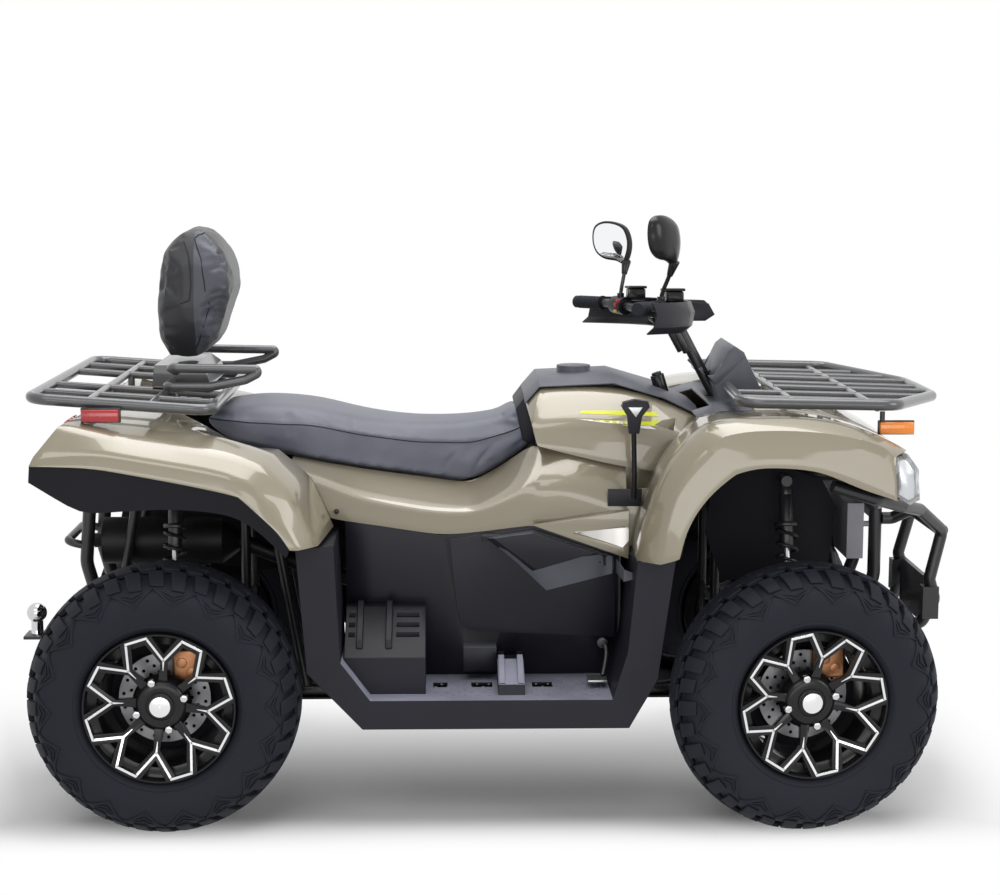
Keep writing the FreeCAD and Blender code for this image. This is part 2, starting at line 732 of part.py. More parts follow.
# The seat's lower edge carries the panels' flanges, so it is drawn first.
seat_wide = size("seat_half_width")
seat_low = [(-668, 908), (-600, 868), (-510, 842), (-400, 819), (-295, 798), (-160, 777),
            (-25, 757), (50, 800), (122, 862)]
seat_pipe = [(-672, 926), (-600, 920), (-510, 912), (-400, 908), (-295, 882), (-160, 861),
             (-25, 857), (50, 880), (108, 905)]
seat_top = [(-668, 934), (-600, 950), (-510, 953), (-400, 944), (-295, 914), (-160, 897),
            (-25, 902), (48, 916), (92, 956)]
seat_shares = [0.82, 1.0, 1.0, 0.98, 0.9, 0.8, 0.75, 0.72, 0.7]

seat_sections = []
for low, pipe, top, share in zip(seat_low, seat_pipe, seat_top, seat_shares):
    half = seat_wide * share
    left = [Vector(low[0], half - 6, low[1]), Vector(pipe[0], half, pipe[1]),
            Vector(top[0], half * 0.72, top[1] - 6)]
    right = [Vector(point.x, -point.y, point.z) for point in reversed(left)]
    seat_sections.append(left + [Vector(top[0], 0, top[1])] + right)
keep_shape("seat", faceted_solid(seat_sections))

rear_lip = [(-1009, 866), (-880, 864), (-806, 850), (-712, 833), (-590, 808), (-548, 796),
            (-506, 757), (-459, 714), (-436, 675)]
rear_crease = [(-1000, 886), (-880, 898), (-806, 887), (-711, 871), (-590, 849),
               (-540, 832), (-500, 800), (-445, 735), (-417, 674)]
rear_shoulder = [(-950, 950), (-870, 934), (-800, 917), (-711, 903), (-616, 890),
                 (-546, 877), (-495, 855), (-430, 786), (-376, 676)]
rear_ridge = [(-924, 958), (-860, 950), (-790, 944), (-711, 936), (-620, 918), (-553, 902),
              (-482, 872), (-411, 808), (-362, 684)]
deck_line = rear_ridge[:4]
rear_flange = [(-600, along(seat_low, -600) - 4 * gap), (-553, along(seat_low, -553) - gap)]
front_edge = [(-478, 868), (-404, 802), (-352, 684)]
rear_inner = deck_line + rear_flange + front_edge
inner_offsets = [205] * 4 + [198] * 2 + [inner_edge + 2] * 3
tuck_offsets = [203] * 4 + [165, 190] + [inner_edge] * 3
rear_fender = skin(stations((lip, rear_lip), (lip - 6, rear_crease), (lip - 48, rear_shoulder),
                            (430, rear_ridge), (inner_offsets, rear_inner),
                            (tuck_offsets, rear_inner)), wall)
deck = skin(stations((203 - seam, deck_line), (seam - 203, deck_line)), wall)
keep_shape("rear_body", Part.makeCompound([rear_fender, mirrored(rear_fender), deck]))


# Tank shell and its cover

tank_wide = 262.0
tank_low = [(130, 866), (200, 848), (318, 818), (440, 800), (520, 800)]
tank_mid = [(118, 915), (200, 925), (318, 920), (440, 900), (522, 860)]
tank_high = [(106, 955), (140, 995), (318, 1003), (440, 967), (526, 925)]
tank_sections = []
for low, mid, high in zip(tank_low, tank_mid, tank_high):
    left = [Vector(low[0], tank_wide, low[1]), Vector(mid[0], tank_wide - 12, mid[1]),
            Vector(high[0], 172, high[1])]
    right = [Vector(point.x, -point.y, point.z) for point in reversed(left)]
    tank_sections.append(left + right)
keep_shape("tank_shell", faceted_solid(tank_sections))

cover_edge = raised(tank_high, 2 * gap)
cover_crown = raised(cover_edge, 14)
cover = skin(stations((172, cover_edge), (95, cover_crown), (-95, cover_crown),
                      (-172, cover_edge)), -wall)
filler_cap = rod((232, 0, 1008), (232, 0, 1034), 42)
keep_shape("tank_top_cover", joined([cover, filler_cap]))


# Side panels below the seat and the tank

panel_wide = 300.0
panel_xs = [-455, -362, -295, -160, -96, -25, 50, 122, 200, 318, 342]
panel_lower = list(zip(panel_xs, [730, 699, 690, 669, 659, 665, 674, 683, 655, 612, 603]))
panel_middle = list(zip(panel_xs, [822, 790, 750, 725, 716, 716, 745, 790, 785, 745, 735]))
panel_upper = []
upper_offsets = []
for x in panel_xs:
    on_tank = x > seat_low[-1][0]
    height = along(tank_low, x) if on_tank else along(seat_low, x)
    panel_upper.append((x, height - gap))
    seat_half = along(list(zip([p[0] for p in seat_low], seat_shares)), x) * seat_wide
    upper_offsets.append(tank_wide - 12 if on_tank else seat_half - 14)
upper_offsets[7] = 200.0
side_panel = skin(stations((panel_wide, panel_lower), (panel_wide + 4, panel_middle),
                           (upper_offsets, panel_upper)), wall)
keep_shape("side_panels", pair(side_panel))


# Infill panels between the side panels, the footwells and the front fenders
infill_outline = [(118, 687), (344, 722), (344, 606)]
infill_pocket = [(215, 668), (334, 684), (324, 636)]
infill_from = panel_wide + 4 + gap
infill = plate(infill_outline, 26, "XZ", infill_from)
infill = infill.cut(plate(infill_pocket, 4, "XZ", infill_from + 23))
keep_shape("infill_panels", pair(infill))


# Footwells, with the pillion box and the driver's peg moulded on

floor_height = 308.0
footwell_skin = size("footwell_skin")
footwell_out = size("footwell_outer")
footwell_in = size("footwell_inner")
foot_side = [(-343, 672), (-330, 398), (-262, floor_height), (296, floor_height),
             (330, 420), (350, 632)]
wheel_side = [(439, 641), (400, 354), (335, 240), (-280, 240), (-407, 373), (-430, 662)]


def footwell():
    """Tray with a hollow sill, open towards the engine."""
    whole = plate(foot_side + wheel_side, footwell_out - footwell_in, "XZ", footwell_in)
    profile = Part.Face(Part.makePolygon(
        [Vector(x, footwell_in - 1, z) for x, z in foot_side + wheel_side + foot_side[:1]]))
    hollow = profile.makeOffset2D(-footwell_skin, 2)
    depth = footwell_out - footwell_in + 1 - footwell_skin
    tray = whole.cut(hollow.extrude(Vector(0, depth, 0)))
    box_start = footwell_in + 31
    box_outline = [(box_start, floor_height), (436, floor_height), (436, 396),
                   (404, 420), (310, 490), (box_start, 490)]
    pillion_box = plate(box_outline, 189, "YZ", -324)
    peg_outline = [(300, floor_height), (446, floor_height), (436, 332), (340, 368),
                   (300, 368)]
    peg = plate(peg_outline, 62, "YZ", 34)
    treads = []
    box_ridge = [(296, 478), (404, 408), (416, 414), (408, 432), (310, 503), (296, 503)]
    peg_ridge = [(306, 356), (340, 356), (424, 326), (436, 334), (344, 379), (306, 379)]
    for x in (-296, -228):
        treads.append(plate(box_ridge, 14, "YZ", x))
    for x in (36, 80):
        treads.append(plate(peg_ridge, 14, "YZ", x))
    return joined([tray, pillion_box, peg] + treads)


left_footwell = footwell()
keep_shape("footwell_left", left_footwell)
keep_shape("footwell_right", mirrored(left_footwell))


# Side covers over the engine

cover_xs = [-325, -258, -96, -25, 122, 292, 324]
cover_foot = list(zip(cover_xs, [404, 310.5, 308.3, 308.3, 308.3, 310.5, 416]))
cover_head = [(x, along(panel_lower, x) - 1) for x in cover_xs]
base = skin(stations((footwell_in + 8, cover_foot), (panel_wide - 4, cover_head)), wall)
raised_outline = [(-78, 648), (-60, 478), (-51, 448), (-38, 433), (-14, 426), (316, 410),
                  (316, 608), (118, 676), (-20, 657)]
facet_foot = [(0, 652), (150, 530), (316, 572), (316, 604), (118, 670), (60, 662)]
facet_top = [(26, 653), (124, 580), (248, 610), (264, 617), (118, 665), (68, 659)]
raised_panel = plate(raised_outline, 26, "XZ", size("cover_outer") - 26)
facet = faceted_solid([[Vector(x, size("cover_outer") + rise, z) for x, z in outline]
                       for rise, outline in ((-4, facet_foot), (14, facet_top))])
bump = block((-46, 258, 330), (33, 312, 388))
keep_shape("side_covers", pair(joined([base, raised_panel, facet, bump])))


# Arch liners and tail panel

liner = 3.0
liner_out = lip - wall - 1.2
front_roof = [(x + 4, z + 3) for x, z in front_lip]
front_liner = skin(stations((liner_out, front_roof), (268, front_roof)), -liner)
rear_drop = [(-1014, 828), (-900, 756), (-806, 762), (-712, 768), (-600, 760), (-548, 745),
             (-506, 715), (-470, 680), (-446, 655)]
rear_liner = skin(stations((liner_out, raised(rear_lip, 2)), (liner_out - 10, rear_drop),
                           (250, raised(rear_drop, 4))), -liner)
keep_shape("arch_liners", Part.makeCompound(
    [front_liner, mirrored(front_liner), rear_liner, mirrored(rear_liner)]))

tail_top = Vector(deck_line[0][0] - gap - wall, 0, deck_line[0][1] - 1)
tail_foot = Vector(-1003, 0, 868)
tail_run = (tail_foot - tail_top).normalize()
tail_out = Vector(-tail_run.z, 0, tail_run.x) * -1
if tail_out.x > 0:
    tail_out = tail_out * -1


def tail_plate(start, end, low, high, half_from, half_to):
    """Slanted slab on the tail panel, between two stretches of its slope."""
    corners = [tail_top + tail_run * start + tail_out * low,
               tail_top + tail_run * end + tail_out * low,
               tail_top + tail_run * end + tail_out * high,
               tail_top + tail_run * start + tail_out * high]
    outline = [(corner.x, corner.z) for corner in corners]
    return plate(outline, half_to - half_from, "XZ", half_from)


tail_length = (tail_foot - tail_top).Length
keep_shape("tail_panel", tail_plate(0, tail_length, -wall, 0, -425, 425))
keep_shape("tail_lamps", pair(tail_plate(22, 92, gap, 14, 290, 410)))


# Nose

grille_top, grille_foot = hood_edge[-1], (994, 737)
grille_outline = [(grille_top[0] - 3, grille_top[1] - 1), (grille_top[0] + 4, grille_top[1] - 1),
                  (grille_foot[0] + 6, grille_foot[1]), grille_foot]
keep_shape("front_grille", plate(grille_outline, 620, "XZ", -310))
lamp_outline = [(927, 874), (961, 879), (986, 845), (990, 776), (968, 764), (938, 782)]
lamp = joined([plate(lamp_outline, 168, "XZ", 336), rod((945, 420, 860), (945, 420, 887.6), 6)])
keep_shape("headlamps", pair(lamp))
radiator_core = block((888, -205, 580), (928, 205, 716))
radiator_tabs = [rod((926, out, 650), (975 - rail - gap, out, 650), 7) for out in (-118, 118)]
keep_shape("radiator", joined([radiator_core] + radiator_tabs))

bumper_radius = size("bumper_tube_radius")
nose_post = 975.0
bumper_reach = 157.0
reach = nose_post + bumper_reach


def ahead(share):
    """Distance forward at a share of the bumper's reach from the nose posts."""
    return nose_post + share * bumper_reach


bumper_half = [
    tube([(nose_post - 175, 455, 800), (nose_post - 70, 440, 766), (ahead(0.06), 360, 736),
          (ahead(0.48), 260, 710), (reach, 160, 640), (ahead(0.81), 168, 520),
          (ahead(0.90), 168, 470), (ahead(0.71), 150, 400), (nose_post + 25, 118, 425),
          (nose_post - 11, 118, 425)], bumper_radius, 22),
    tube([(nose_post + rail + gap, 118, 664), (nose_post + rail + 26, 118, 664),
          (ahead(0.54), 140, 690), (ahead(0.97), 160, 642)], bumper_radius, 22),
    block((ahead(0.69), 148, 424), (ahead(0.94), 188, 504)),
]
bumper_bars = [rod((reach, -160, 640), (reach, 160, 640), bumper_radius),
               rod((ahead(0.87), -168, 480), (ahead(0.87), 168, 480), bumper_radius - 3)]
chin = plate([(ahead(0.78), 400), (ahead(0.92), 480), (ahead(0.85), 520), (ahead(0.78), 520)],
             240, "XZ", -120)
keep_shape("bumper", joined(bumper_half + [mirrored(each) for each in bumper_half]
                            + bumper_bars + [chin]))


# Racks

rack_radius = size("rack_tube_radius")
slat_radius = size("rack_slat_radius")
rack_out = size("rack_half_width")
rack_high = size("front_rack_height")


def leg(x, y, top, surface, lift=0.0):
    """Short support with a round foot, standing clear of a surface's outline."""
    foot_radius = 14.0
    foot = max(along(surface, x + reach) for reach in (-foot_radius, 0, foot_radius)) + lift + gap
    return [rod((x, y, foot), (x, y, top), 9),
            rod((x, y, foot), (x, y, foot + 4), foot_radius)]


front_rail = tube([(600, 132, rack_high + 4), (588, rack_out, rack_high + 2),
                   (942, rack_out, rack_high - 5), (1098, 150, rack_high - 18),
                   (1100, 0, rack_high - 18)], rack_radius, 50)
front_pieces = [front_rail]
for y, start, end in ((110, 716, 1092), (215, 598, 1060), (325, 594, 1002)):
    front_pieces.append(rod((start, y, rack_high - 2), (end, y, rack_high - 14), slat_radius))
for x in (720, 900):
    level = rack_high - 4 - (x - 600) * 0.022
    front_pieces.append(rod((x, 0, level), (x, rack_out, level), slat_radius))
front_pieces += leg(735, 110, rack_high - 6, hood_crown)
front_pieces += leg(885, 110, rack_high - 9, hood_crown)
spine = rod((716, 0, rack_high - 4), (1100, 0, rack_high - 16), slat_radius)
keep_shape("front_rack", joined(front_pieces + [mirrored(each) for each in front_pieces]
                                + [spine]))

rear_rise = 1003.0
rear_front = 975.0


def rear_level(x):
    return rear_front + (rear_rise - rear_front) * (-620 - x) / 412


rear_rail = tube([(-1032, 0, rear_rise), (-1032, 440, rear_rise), (-620, 440, rear_front),
                  (-620, 0, rear_front)], rack_radius, 45)
rear_pieces = [rear_rail]
for y in (150, 300):
    rear_pieces.append(rod((-1032, y, rear_rise), (-620, y, rear_front), slat_radius))
for x in (-900, -760):
    rear_pieces.append(rod((x, 0, rear_level(x)), (x, 440, rear_level(x)), slat_radius))
for x in (-890, -735):
    rear_pieces += leg(x, 150, rear_level(x), deck_line)
keep_shape("rear_rack", joined(rear_pieces + [mirrored(each) for each in rear_pieces]))

lamp_low, lamp_high = 919.0, 948.0
lamp_hanger = along([(588, rack_high + 2), (942, rack_high - 5)], 912) - rack_radius - gap
keep_shape("side_reflectors", pair(joined([
    block((905, 436, lamp_low), (985, 458, lamp_high)),
    rod((912, rack_out, lamp_high - 2), (912, rack_out, lamp_hanger), 6)])))

red_high = rear_level(-865) - rack_radius - 3 * gap
keep_shape("rear_reflectors", pair(joined([
    block((-908, 457, 952), (-822, 479, 982)),
    block((-880, 430, 962), (-850, 460, 971)),
    rod((-865, 440, 966), (-865, 440, red_high), 7)])))


# Backrest

box_foot = rear_level(-760) + slat_radius + 2
box_top = 1050.0
box_outline = [(-792, box_foot + 4), (-650, box_foot + 4), (-662, 1030), (-690, box_top),
               (-785, box_top)]
backrest_box = plate(box_outline, 330, "XZ", -165)
handle_low, handle_high = 1008.0, 1052.0
handle = tube([(-735, 150, 1034), (-735, 250, handle_high), (-514, 250, handle_high - 4),
               (-560, 250, 1024), (-640, 250, handle_low), (-745, 250, handle_low),
               (-745, 150, handle_low)], 11, 16)
mount_feet = [rod((-760, y, rear_level(-760) + slat_radius + gap), (-760, y, box_foot + 8), 12)
              for y in (-60, 60)]
keep_shape("backrest_mount", joined([backrest_box, handle, mirrored(handle)] + mount_feet))

pad_outline = [(-766, box_top + gap), (-692, box_top + gap), (-650, 1094), (-624, 1179),
               (-601, 1249), (-609, 1293), (-637, 1349), (-668, 1386), (-697, 1396),
               (-730, 1375), (-757, 1335), (-769, 1280), (-777, 1179), (-776, 1095)]
pad_front = [(-90, box_top), (90, box_top), (140, 1110), (152, 1200), (140, 1320), (100, 1380),
             (50, 1400), (-50, 1400), (-100, 1380), (-140, 1320), (-152, 1200), (-140, 1110)]
pad = plate(pad_outline, 320, "XZ", -160).common(plate(pad_front, 300, "YZ", -850))
keep_shape("backrest_pad", pad)


# Hitch: plate, neck and ball

hitch_plate = doc.addObject("Part::Box", "towing_plate")
hitch_plate.setExpression("Length", "sizes.hitch_reach - 870")
hitch_plate.setExpression("Width", "70 mm")
hitch_plate.setExpression("Height", "sizes.hitch_plate")
hitch_plate.setExpression(".Placement.Base.x", "-sizes.hitch_reach - 29")
hitch_plate.setExpression(".Placement.Base.y", "-35 mm")
hitch_plate.setExpression(".Placement.Base.z", "345 + sizes.seat_clearance")
hitch_neck = doc.addObject("Part::Cylinder", "ball_neck")
hitch_neck.setExpression("Radius", "sizes.hitch_ball_radius * 0.6")
hitch_neck.setExpression("Height", "sizes.hitch_ball_height - 345 - sizes.seat_clearance")
hitch_neck.setExpression(".Placement.Base.x", "-sizes.hitch_reach")
hitch_neck.setExpression(".Placement.Base.z", "345 + sizes.seat_clearance")
hitch_ball = doc.addObject("Part::Sphere", "ball")
hitch_ball.setExpression("Radius", "sizes.hitch_ball_radius")
hitch_ball.setExpression(".Placement.Base.x", "-sizes.hitch_reach")
hitch_ball.setExpression(".Placement.Base.z", "sizes.hitch_ball_height")
hitch = doc.addObject("Part::MultiFuse", "hitch")
hitch.Shapes = [hitch_plate, hitch_neck, hitch_ball]
keep(hitch, "hitch")


# Exhaust

silencer_axis = (-40, 600)
silencer = joined([
    rod((-935, *silencer_axis), (-640, *silencer_axis), 58),
    Part.makeCone(58, 26, 40, Vector(-640, *silencer_axis), Vector(1, 0, 0)),
    rod((-960, *silencer_axis), (-935, *silencer_axis), 18),
    tube([(-160 - gap, -40, 480), (-240, -40, 480), (-400, -40, 520), (-610, *silencer_axis)],
         20, 120),
])
keep_shape("exhaust", silencer)


# Gear lever

lever_side = panel_wide + 4
gate = block((296, -lever_side - 6, 729), (376, -lever_side - gap, 770))
lever_rod = tube([(357, -lever_side - 4, 748), (357, -lever_side - 14, 800),
                  (354, -lever_side - 16, 915)], 6, 60)
knob_outline = [(342, 905), (366, 905), (372, 945), (390, 968), (386, 980), (356, 985),
                (328, 978), (324, 968), (338, 945)]
knob = plate(knob_outline, 26, "XZ", -lever_side - 29)
keep_shape("gear_lever", joined([gate, lever_rod, knob]))


# Dash pod and cowl round the column

clear_column = Part.makeCylinder(size("column_radius") + 8, 500, column_foot + column_axis * 380,
                                 column_axis)
pod_outline = [(603, 1079), (618, 1091), (641, 1076), (690, 972), (634, 972), (634, 959),
               (580, 959), (567, 1005)]
pod = plate(pod_outline, 240, "XZ", -120)
cowl_outline = [(506, 940), (560, 956), (639, 957), (639, 953), (560, 952), (507, 936)]
cowl = plate(cowl_outline, 2 * (inner_edge - seam), "XZ", seam - inner_edge)
cowl = cowl.cut(block((500, -178, 900), (552, 178, 1000)))
foot_strip = block((580, -120, 955), (634, 120, 962))
keep_shape("dash_pod", joined([pod, cowl, foot_strip]).cut(clear_column))


# Steering. It is drawn straight ahead and then turned to the parked angle.

def steered(shape):
    shape = shape.copy()
    shape.rotate(column_point, column_axis, size("parked_steer"))
    return shape


column_radius = size("column_radius")
bar_radius = size("bar_radius")
pitman = size("steering_arm")
pitman_way = Vector(-math.cos(column_rake), 0, -math.sin(column_rake))
pitman_pin = 5.0
pitman_tip = column_foot + pitman_way * pitman
eye_lifts = {1: -16.0, -1: -31.0}

stem = joined([
    Part.makeCylinder(column_radius, (column_top - column_foot).Length, column_foot, column_axis),
    Part.makeCylinder(24, 14, column_foot - column_axis * 8, column_axis),
    rod(column_foot, pitman_tip, 8),
    Part.makeCylinder(11, 16, pitman_tip - column_axis * 8, column_axis),
    Part.makeCylinder(pitman_pin, 46, pitman_tip - column_axis * 40, column_axis),
])
keep_shape("steering_stem", steered(stem))

bar_centre = column_top + column_axis * (bar_radius + gap)
grip_start, grip_end = Vector(372, 320, 1181), Vector(309, 430, 1183)
bar_half = tube([bar_centre, (bar_centre.x - 4, 70, bar_centre.z + 2), (440, 150, 1168),
                 grip_start, grip_end], bar_radius, 60)
keep_shape("handlebar", steered(joined([bar_half, mirrored(bar_half)])))

grip_way = (grip_end - grip_start).normalize()
grip_from = grip_start + grip_way * 20
grip_length = (grip_end - grip_from).Length + 6
grip_bore = bar_radius + gap
grip = Part.makeCylinder(size("grip_radius"), grip_length, grip_from, grip_way).cut(
    Part.makeCylinder(grip_bore, grip_length - 5, grip_from - grip_way, grip_way))
keep_shape("grips", steered(pair(grip)))

switch_from = Vector(440, 150, 1168)
switch_way = (grip_start - switch_from).normalize()
switch_at = switch_from + switch_way * 95


def hand_control():
    """Switch block clamped on the bar, with its lever ahead of the grip."""
    body = Part.makeCylinder(23, 52, switch_at, switch_way)
    lug = block((switch_at.x - 6, switch_at.y, switch_at.z - 14),
                (switch_at.x + 46, switch_at.y + 40, switch_at.z + 14))
    lever = tube([(switch_at.x + 40, switch_at.y + 25, switch_at.z),
                  (grip_start.x + 40, grip_start.y + 20, grip_start.z),
                  (grip_end.x + 38, grip_end.y - 6, grip_end.z)], 5, 40)
    bore = Part.makeCylinder(grip_bore, 200, switch_at - switch_way * 60, switch_way)
    return joined([body, lug, lever]).cut(bore)


keep_shape("hand_controls", steered(pair(hand_control())))

pod_foot = bar_centre.z + bar_radius + gap + 3
bar_pod_outline = [(452, pod_foot), (548, pod_foot), (572, 1160), (556, 1188), (486, 1194),
                   (452, 1176)]
bar_pod = plate(bar_pod_outline, 124, "XZ", -62)
pod_stalk = rod((bar_centre.x, 0, bar_centre.z + bar_radius + gap), (bar_centre.x, 0, pod_foot + 4),
                9)
keep_shape("bar_pod", steered(joined([bar_pod, pod_stalk])))


def hand_guard():
    """Curved shield ahead of the lever, clamped on the bar beside the column."""
    path = [(480, 150), (472, 240), (442, 330), (392, 400), (340, 448)]
    rails = [[(x - 16, y, 1128) for x, y in path], [(x, y, 1142) for x, y in path],
             [(x + 6, y, 1172) for x, y in path], [(x - 4, y, 1196) for x, y in path]]
    shield = skin([[Vector(*rail_points[i]) for rail_points in rails]
                   for i in range(len(path))], 4)
    bar_from = Vector(bar_centre.x - 4, 70, bar_centre.z + 2)
    bar_way = (Vector(440, 150, 1168) - bar_from).normalize()
    clamp_at = bar_from + bar_way * 48
    clamp = Part.makeCylinder(20, 18, clamp_at, bar_way)
    arm = rod(clamp_at + bar_way * 9 + Vector(14, 0, 0), (479, 166, 1156), 6)
    bore = Part.makeCylinder(grip_bore, 60, clamp_at - bar_way * 20, bar_way)
    return joined([shield, clamp, arm]).cut(bore)


keep_shape("hand_guards", steered(pair(hand_guard())))


def mirror_head():
    """Rear-view mirror on a bent stem, standing on the switch block."""
    foot = switch_at + switch_way * 26 + Vector(0, 0, 24)
    stem = tube([foot, (foot.x, foot.y, foot.z + 16), (foot.x + 34, foot.y + 6, foot.z + 62),
                 (424, 300, 1284), (402, 322, 1318)], 5.5, 20)
    outline = [(-62, -38), (-36, -54), (22, -56), (62, -34), (74, 6), (62, 42), (28, 56),
               (-44, 50), (-70, 14), (-72, -16)]
    centre = Vector(392, 340, 1342)
    lean = math.radians(42)

    def placed(depth, share):
        across = Vector(-math.sin(lean), math.cos(lean), 0)
        back = Vector(math.cos(lean), math.sin(lean), 0)
        return [centre + back * depth + across * (y * share) + UP * (z * share)
                for y, z in outline]

    return joined([faceted_solid([placed(-14, 0.97), placed(-8, 1.0), placed(6, 0.9),
                                  placed(20, 0.55)]), stem])


keep_shape("mirrors", steered(pair(mirror_head())))


# Tie rods on one pin of the column's arm, which keep their direction as the arms swing

def tie_rod(side):
    tip = pitman_tip + column_axis * eye_lifts[side]
    pin_level = wheel_radius + 30
    outer = Vector(axle - pitman, side * kingpin, pin_level)
    inner_eye = Part.makeCylinder(12, 12, tip - column_axis * 6, column_axis)
    outer_eye = Part.makeCylinder(14, 12, outer - UP * 6, UP)
    link = rod(tip, outer, 7)
    inner_bore = Part.makeCylinder(pitman_pin + size("running_clearance"), 40,
                                   tip - column_axis * 20, column_axis)
    outer_bore = Part.makeCylinder(8.5, 40, outer - UP * 20, UP)
    whole = joined([inner_eye, outer_eye, link]).cut(inner_bore).cut(outer_bore)
    whole = max(whole.Solids, key=lambda solid: solid.Volume)
    moved = tip - column_point
    turn = FreeCAD.Rotation(column_axis, size("parked_steer"))
    whole.translate(turn.multVec(moved) - moved)
    return whole


keep_shape("tie_rod_left", tie_rod(1))
keep_shape("tie_rod_right", tie_rod(-1))


problems = []
doc.recompute()
for feature in doc.Objects:
    if "Invalid" in feature.State or "Error" in feature.State:
        problems.append(f"{feature.Name}: {feature.State}")
for feature in kept:
    if feature.Shape.isNull() or not feature.Shape.isValid():
        problems.append(f"{feature.Label}: shape is null or not valid")
if problems:
    raise RuntimeError("; ".join(problems))
os.makedirs("parts", exist_ok=True)
for feature in kept:
    feature.Shape.exportStep(os.path.join("parts", feature.Label + ".step"))
print(len(kept), "sub-parts written")
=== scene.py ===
"""A two-seat quad bike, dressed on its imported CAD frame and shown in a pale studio."""

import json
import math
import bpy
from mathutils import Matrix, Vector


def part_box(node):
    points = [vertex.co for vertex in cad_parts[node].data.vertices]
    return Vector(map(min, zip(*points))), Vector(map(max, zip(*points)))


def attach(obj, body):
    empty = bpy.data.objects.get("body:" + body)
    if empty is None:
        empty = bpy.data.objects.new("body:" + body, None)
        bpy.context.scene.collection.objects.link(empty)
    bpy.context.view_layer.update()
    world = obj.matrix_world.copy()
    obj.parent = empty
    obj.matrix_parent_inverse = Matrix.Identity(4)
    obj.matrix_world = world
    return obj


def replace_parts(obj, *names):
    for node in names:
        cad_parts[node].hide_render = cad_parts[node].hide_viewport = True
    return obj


bl_info = {
    "name": "Quad bike dresser",
    "version": (1, 0, 0),
    "blender": (4, 5, 0),
    "location": "View3D > Sidebar > Quad bike",
    "description": "Builds the panels, tyres, seat, lamps and studio of a quad bike",
    "category": "Object",
}

from contextlib import contextmanager

import bmesh
import bpy
from mathutils import Matrix, Vector, kdtree

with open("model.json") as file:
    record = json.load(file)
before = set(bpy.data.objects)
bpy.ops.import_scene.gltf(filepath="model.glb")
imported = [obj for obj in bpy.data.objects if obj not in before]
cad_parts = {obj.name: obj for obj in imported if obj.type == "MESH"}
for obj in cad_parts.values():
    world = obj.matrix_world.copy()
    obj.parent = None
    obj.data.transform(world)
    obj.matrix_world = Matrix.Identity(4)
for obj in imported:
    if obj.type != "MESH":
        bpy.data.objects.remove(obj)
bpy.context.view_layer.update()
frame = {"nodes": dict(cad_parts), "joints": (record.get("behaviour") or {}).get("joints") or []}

CHASSIS = "chassis"
MM = 0.001
LEFT_TO_RIGHT = Matrix.Diagonal((1.0, -1.0, 1.0, 1.0))
UPSIDE_DOWN = Matrix.Diagonal((1.0, 1.0, -1.0, 1.0))
SIDES = ((-1, "right"), (1, "left"))

# Wheels: places and sizes in millimetres and angles in degrees, as in the frame
tyre_low, tyre_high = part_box("tyre_rear_right")
AXLE = -(tyre_low[0] + tyre_high[0]) / 2 / MM
WHEEL_RADIUS = (tyre_low[2] + tyre_high[2]) / 2 / MM
WHEEL_FACE = 575.0
RIM_HALF = {"front": 92.0, "rear": 117.5}
TYRE_HALF = {"front": 101.5, "rear": 127.0}
KINGPIN = 430.0
PARKED_STEER = math.radians(6.0)
RIM_RADIUS = 173.0
TIP_RADIUS = 168.0
TIP_ANGLE = 14.25
HUB_DISH = 35.0
HUB_FACE = 500.0
RIM_PHASE = {"front": 101.55, "rear": 107.0}


# Sizes and colours that a user would change

class QuadColours(bpy.types.PropertyGroup):
    paint: bpy.props.FloatVectorProperty(
        name="Paint", description="Gloss paint of the fenders and tank", subtype="COLOR",
        default=(0.232, 0.203, 0.140))
    plastic: bpy.props.FloatVectorProperty(
        name="Plastic", description="Moulded footwells and covers", subtype="COLOR",
        default=(0.007, 0.007, 0.013))
    rubber: bpy.props.FloatVectorProperty(
        name="Rubber", description="Tyres and grips", subtype="COLOR",
        default=(0.007, 0.008, 0.014))
    vinyl: bpy.props.FloatVectorProperty(
        name="Vinyl", description="Seat and backrest cover", subtype="COLOR",
        default=(0.078, 0.083, 0.110))
    calliper: bpy.props.FloatVectorProperty(
        name="Calliper", description="Brake callipers behind the wheels", subtype="COLOR",
        default=(0.42, 0.20, 0.10))


class QuadSizes(bpy.types.PropertyGroup):
    lens: bpy.props.FloatProperty(
        name="Lens", description="Focal length of the camera", unit="CAMERA", default=71.3)


# Materials

TEXTURE_VALUE = {"Noise": "Fac", "Wave": "Fac", "Voronoi": "Distance"}


def texture(tree, kind, scale, detail=None):
    """Value of a texture laid out by the object's own coordinates."""
    place = tree.nodes.new("ShaderNodeTexCoord")
    node = tree.nodes.new("ShaderNodeTex" + kind)
    node.inputs["Scale"].default_value = scale
    if detail is not None:
        node.inputs["Detail"].default_value = detail
    tree.links.new(place.outputs["Object"], node.inputs["Vector"])
    return node.outputs[TEXTURE_VALUE[kind]]


def map_range(tree, value, **levels):
    """Map a value from one range to another. The levels name the node's own sockets."""
    node = tree.nodes.new("ShaderNodeMapRange")
    for name, level in levels.items():
        node.inputs[name.replace("_", " ").title()].default_value = level
    tree.links.new(value, node.inputs["Value"])
    return node


def scaled(colour, factor):
    return tuple(channel * factor for channel in colour)


